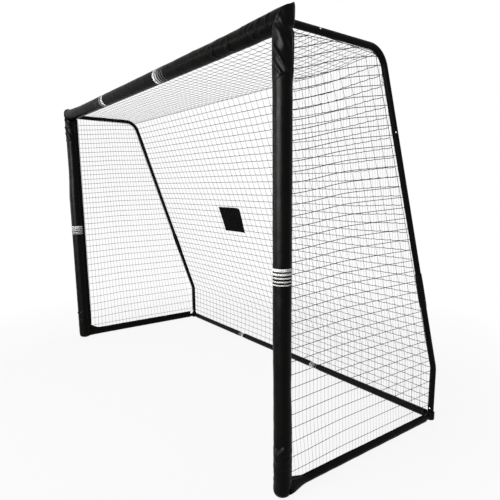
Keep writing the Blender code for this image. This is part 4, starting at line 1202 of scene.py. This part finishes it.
def build_roof_net():
    """Roof net from the crossbar's flap back to the crease."""
    front = Vector((0, FRONT_Y + PAD_RADIUS + CROSSBAR_FLAP + 0.001, CROSSBAR_Z))
    width = 2 * (POST_X - ARM_RADIUS - NET_GAP)
    back = NET_CREASE - front
    way = back.normalized()
    down = (NET_KINK - NET_CREASE).normalized()

    def knot_at(share, drop):
        place = front + way * drop + Vector((width * (share - 0.5), 0, 0))
        place += down * crease_sag(share) * drop / back.length
        return place, wander(place, 0.0012) + Vector((0, 0, -0.006))

    rows, columns, borders = knotted(back.length, lambda place: 0.0316, ROOF_COLUMNS, 0.10, knot_at)
    net_piece("roof_netting", ["net_roof"], rows[:-1], columns, [rows[0], *borders], ROOF_CORDS, 0.0035)


def side_edge(height):
    """Depth of the rear edge of the side net, just in front of the slope tube and upright."""
    edge = min(REAR_Y - NET_CLEAR, slope_point(0, height).y - NET_CLEAR / abs(SLOPE_WAY.z))
    rise = height - BEND_Z
    inner = BEND_RADIUS - NET_CLEAR
    if rise > -inner * SLOPE_WAY.y:
        edge = min(edge, BEND_Y + math.sqrt(max(inner ** 2 - max(rise, 0) ** 2, 0)))
    return edge


def build_side_net(side, sign):
    """Side net from the post's flap to the slope tube, between the ground bar and the arm."""
    reach = PAD_RADIUS + POST_FLAP + 0.0005
    front = FRONT_Y + reach * math.cos(FLAP_ANGLE[side])
    lean = reach * math.sin(FLAP_ANGLE[side])
    bottom = BAR_Z + SIDE_RADIUS[side] + SIDE_FLAP[side]
    top = CROSSBAR_Z - ARM_RADIUS - NET_GAP
    pitch, growth = SIDE_COLUMN_PITCH[side]

    def at(y, z):
        inward = lean * (1 - ease(y, front, front + 0.35)) * ease(z, 0.06, 0.30)
        point = Vector((sign * (POST_X - inward), y, z))
        edge = min(y - front, side_edge(z) - y, z - bottom, top - z)
        return point + wander(point, 0.0007) * ease(edge, 0, 0.05)

    pitch_low, loss, least, most = SIDE_ROW_PITCH[side]
    levels = [FIRST_ROW[side]]
    while levels[-1] < top - 0.055:
        levels.append(levels[-1] + min(most, max(least, pitch_low - loss * levels[-1])))

    def tilted(level, y):
        steep = min(0.19, 0.15 * max(0.0, (level - 0.7) / 0.9) ** 1.6)
        rise = 0.028 * ease(y, front, front + 0.36) * ease(level, 0.0, 0.20)
        return level + SIDE_ROW_TILT[side] * (rise + steep * (y - front))

    def column_y(number, z):
        return front + number * (pitch + growth * number) * (1 - 0.155 * z)

    rows = []
    for level in levels:
        row = [at(front, level)]
        number = 1
        while True:
            y = column_y(number, level)
            z = tilted(level, y)
            y = column_y(number, z)
            if y > side_edge(z) - 0.004 or z > top - 0.003:
                break
            row.append(at(y, z))
            number += 1
        end = min(side_edge(z), y)
        row.append(at(end, min(tilted(level, end), top)))
        rows.append(row)
    columns = []
    number = 1
    while column_y(number, bottom) < side_edge(bottom):
        line = [at(column_y(number, bottom), bottom)]
        line += [row[number] for row in rows if number < len(row) - 1]
        z = line[-1].z
        while z < top and column_y(number, z) < side_edge(z):
            z += 0.002
        line.append(at(column_y(number, z), min(z, top)))
        columns.append(line)
        number += 1
    edge_heights = stations(bottom, (1.80, 0.05), (top, 0.006))
    rear_border = [Vector((sign * POST_X, side_edge(height), height)) for height in edge_heights]
    front_border = [at(front, height) for height in stations(bottom, (top, 0.05))]
    arm_border = [at(y, top) for y in stations(front, (rear_border[-1].y, 0.03))]
    foot_border = [at(y, bottom + 0.001) for y in stations(front, (rear_border[0].y, 0.05))]
    net_piece("side_netting_" + side, ["net_side_" + side], rows, columns,
              [front_border, rear_border, arm_border, foot_border], SIDE_CORDS[side], 0.0015)


def build_patch():
    """Blank cloth patch sewn to the net, with a bound hem."""
    centre = middle("net_patch")
    width, height = PATCH_SIZE
    up = -SLOPE_WAY
    out = Vector((0, SLOPE_WAY.z, -SLOPE_WAY.y)).normalized()
    columns, rows = 60, 40

    def point_at(column, row):
        u = column / columns * 2 - 1
        v = row / rows * 2 - 1
        x = u * width / 2
        z = v * height / 2
        corner = max(0.0, u) * max(0.0, v)
        pull = 0.020 * corner ** 6
        drop = 0.005 * max(0.0, u) ** 5 * max(0.0, -v) ** 5
        x -= pull * 0.5 + 0.028 * (1 - v) / 2 * (1 + u) / 2
        z -= pull * 0.5 + drop
        edge = min((1 - abs(u)) * width / 2, (1 - abs(v)) * height / 2)
        lift = 0.0008 * ease(edge, PATCH_HEM + 0.002, PATCH_HEM)
        crown = 0.003 * (1 - u * u) * (1 - v * v) + 0.0012 * noise.noise(Vector((x, z, 3)) / 0.06)
        pucker = 0.0005 * math.sin(x / 0.006) * ease(abs(edge - PATCH_HEM), 0.004, 0)
        x += PATCH_SHIFT[0]
        z += PATCH_SHIFT[1]
        return centre + RIGHT * x + up * z + out * (lift + crown + pucker)

    work = lofted(columns, rows, point_at, loop=False)
    patch = piece("patch_cloth", work, "pvc_sheeting", ["net_patch"], wall=CLOTH_WALL, grows=1, sharp=60,
                  finish="patch_cloth")


def build_rear_hem():
    """Cloth hem of the lower net, wrapped over the top and back of the rear bar."""
    start, end = -POST_X + 0.036, POST_X - 0.036
    places = stations(start, (end, 0.012))
    first, last = math.radians(30), math.radians(300)
    columns = 34
    joints = (middle("rear_bar_band_left").x, middle("rear_bar_band_right").x)

    def point_at(column, row):
        x = places[row]
        angle = first + (last - first) * column / columns
        wave = noise.noise(Vector((x, angle * 0.03, 0)) / 0.05)
        near_edge = min(angle - first, last - angle)
        joint = min(abs(x - joints[0]), abs(x - joints[1]))
        loose = 0.0053 * ease(near_edge, 0, 0.5)
        loose += (0.0012 * wave + 0.0020 * ease(x, -1.0, 1.2)) * ease(last - angle, 1.2, 2.0)
        radius = REAR_RADIUS + 0.0011 + loose * ease(joint, 0.030, 0.048)
        angle += 0.05 * noise.noise(Vector((x, 7, 0)) / 0.09) * (1 - column / columns)
        return Vector((x, REAR_Y - math.cos(angle) * radius, max(0.0006, BAR_Z + math.sin(angle) * radius)))

    work = lofted(columns, len(places) - 1, point_at, loop=False)
    hem = piece("rear_hem", work, "pvc_sheeting", wall=CLOTH_WALL, grows=0, sharp=60)


# Stage, lights and camera

# Camera fitted to the photograph: place, turn to the left, tip and roll in radians
CAMERA_PLACE = Vector((2.9283, FRONT_Y - 1.1801, 1.3341))
CAMERA_TURN = 0.9011
CAMERA_TIP = -0.1715
CAMERA_ROLL = 0.0010
FRAME_PIXELS = 500
FOCAL_PIXELS = 465.99
AXIS_PIXEL = (279.53, 271.53)

# Surroundings and floor
SKY_STRENGTH = 0.28        # of the white surroundings, where they light the goal
FLOOR_Z = -0.0006
FLOOR_FADE = (1.6, 3.2)    # metres from the middle where the shadow starts to fade and is gone
FLOOR_GLOW = 0.90          # how far the floor is whitened near the goal


def build_camera():
    """Camera with the photograph's point of view and framing."""
    camera = bpy.data.cameras.new("camera")
    camera.sensor_width = 36
    camera.lens = FOCAL_PIXELS * camera.sensor_width / FRAME_PIXELS
    camera.shift_x = 0.5 - AXIS_PIXEL[0] / FRAME_PIXELS
    camera.shift_y = AXIS_PIXEL[1] / FRAME_PIXELS - 0.5
    obj = added("camera", camera)
    forward = Vector((-math.sin(CAMERA_TURN) * math.cos(CAMERA_TIP),
                      math.cos(CAMERA_TURN) * math.cos(CAMERA_TIP), math.sin(CAMERA_TIP)))
    right = Vector((math.cos(CAMERA_TURN), math.sin(CAMERA_TURN), 0))
    up = right.cross(forward)
    matrix = Matrix((right, up, -forward)).transposed().to_4x4()
    matrix = matrix @ Matrix.Rotation(CAMERA_ROLL, 4, "Z")
    matrix.translation = CAMERA_PLACE
    obj.matrix_world = matrix
    bpy.context.scene.camera = obj


def seen_directly(tree):
    """1 for camera, glossy and transmission rays, and 0 for the rest."""
    path = shader_node(tree, "LightPath", {})
    total = path.outputs["Is Camera Ray"]
    for ray in ("Is Glossy Ray", "Is Transmission Ray"):
        total = shader_node(tree, "Math", {0: total, 1: path.outputs[ray]}, operation="MAXIMUM").outputs[0]
    return total


def build_world():
    """White background that lights the goal a little less than it shows."""
    world = bpy.data.worlds.new("studio")
    bpy.context.scene.world = world
    world.use_nodes = True
    tree = world.node_tree
    strength = ranged(tree, seen_directly(tree), 0, 1, SKY_STRENGTH, 1.0)
    fill_in(tree, tree.nodes["Background"], {"Color": (1, 1, 1, 1), "Strength": strength})


def build_floor():
    """White floor that keeps a soft shadow near the goal and runs into the white backdrop."""
    work = bmesh.new()
    bmesh.ops.create_grid(work, x_segments=1, y_segments=1, size=20)
    bmesh.ops.translate(work, vec=(0, 0, FLOOR_Z), verts=work.verts)
    mesh = mesh_of("floor", work)
    material = bpy.data.materials.new("floor")
    material.use_nodes = True
    tree = material.node_tree
    shader = tree.nodes["Principled BSDF"]
    fill_in(tree, shader, {"Base Color": (0.8, 0.8, 0.8, 1), "Roughness": 0.9})
    away = shader_node(tree, "VectorMath", {0: on_object(tree)}, operation="LENGTH").outputs["Value"]
    fade = ranged(tree, away, *FLOOR_FADE, FLOOR_GLOW, 1.0)
    factor = shader_node(tree, "Math", {0: fade, 1: seen_directly(tree)}, operation="MULTIPLY").outputs[0]
    glow = shader_node(tree, "Emission", {}).outputs[0]
    mix = shader_node(tree, "MixShader", {0: factor, 1: shader.outputs[0], 2: glow}).outputs[0]
    fill_in(tree, tree.nodes["Material Output"], {"Surface": mix})
    mesh.materials.append(material)
    added("floor", mesh)


def add_panel(name, place, aim, width, height, radiance, sheen=False):
    """Soft rectangular lamp, set by its brightness. A sheen lamp only shows in glossy surfaces."""
    lamp = bpy.data.lights.new(name, "AREA")
    lamp.shape = "RECTANGLE"
    lamp.size = width
    lamp.size_y = height
    lamp.energy = radiance * math.pi * width * height
    obj = added(name, lamp)
    matrix = (Vector(place) - Vector(aim)).to_track_quat("Z", "Y").to_matrix().to_4x4()
    matrix.translation = Vector(place)
    obj.matrix_world = matrix
    obj.visible_camera = False
    obj.visible_diffuse = not sheen


def build_lights():
    """Lamps, each with its place, aim, width, height and brightness."""
    add_panel("front_panel", (1.4, -5.6, 2.0), (0.6, 0, 1.3), 3.4, 2.0, 10.4)
    add_panel("upper_sheen", (2.0, -5.5, 2.65), (1.4, 0, 1.6), 4.4, 1.4, 30.0, sheen=True)
    add_panel("lower_sheen", (2.0, -5.5, 1.1), (1.4, 0, 1.2), 4.4, 1.7, 10.0, sheen=True)
    add_panel("left_sheen", (-4.4, -5.6, 1.6), (-1.4, -0.5, 1.5), 1.2, 2.4, 17.0, sheen=True)
    add_panel("rear_panel", (-3.0, 6.0, 3.2), (0, 0, 1.0), 2.2, 2.2, 4.0)


def dress_frame():
    """Finish for the CAD nodes that stay: front tubes in the foam, clips and screws."""
    for name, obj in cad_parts.items():
        if obj.hide_render:
            continue
        slot = "zinc_steel" if name.startswith(("snap_", "foot_screw")) else "coated_steel"
        obj.data.materials.clear()
        obj.data.materials.append(FINISHES[slot])


def main():
    """Build the stage and every piece."""
    build_camera()
    build_world()
    build_floor()
    build_lights()
    bpy.context.scene.view_settings.view_transform = "Standard"
    build_foam()
    build_ground_tubes()
    for side, sign in SIDES:
        build_post_cover(side, sign)
        build_side_cover(side, sign)
        build_arm(side, sign)
        build_slope(side, sign)
        build_upright(side, sign)
        build_rear_corner(side, sign)
        build_top_corner(side, sign)
        build_foot(side, sign)
        build_bolt(side, sign)
        for joint in ("arm", "slope"):
            build_button(joint, side, sign)
        build_side_net(side, sign)
    build_crossbar_cover()
    build_rings()
    build_rear_net()
    build_roof_net()
    build_patch()
    build_rear_hem()
    dress_frame()


main()
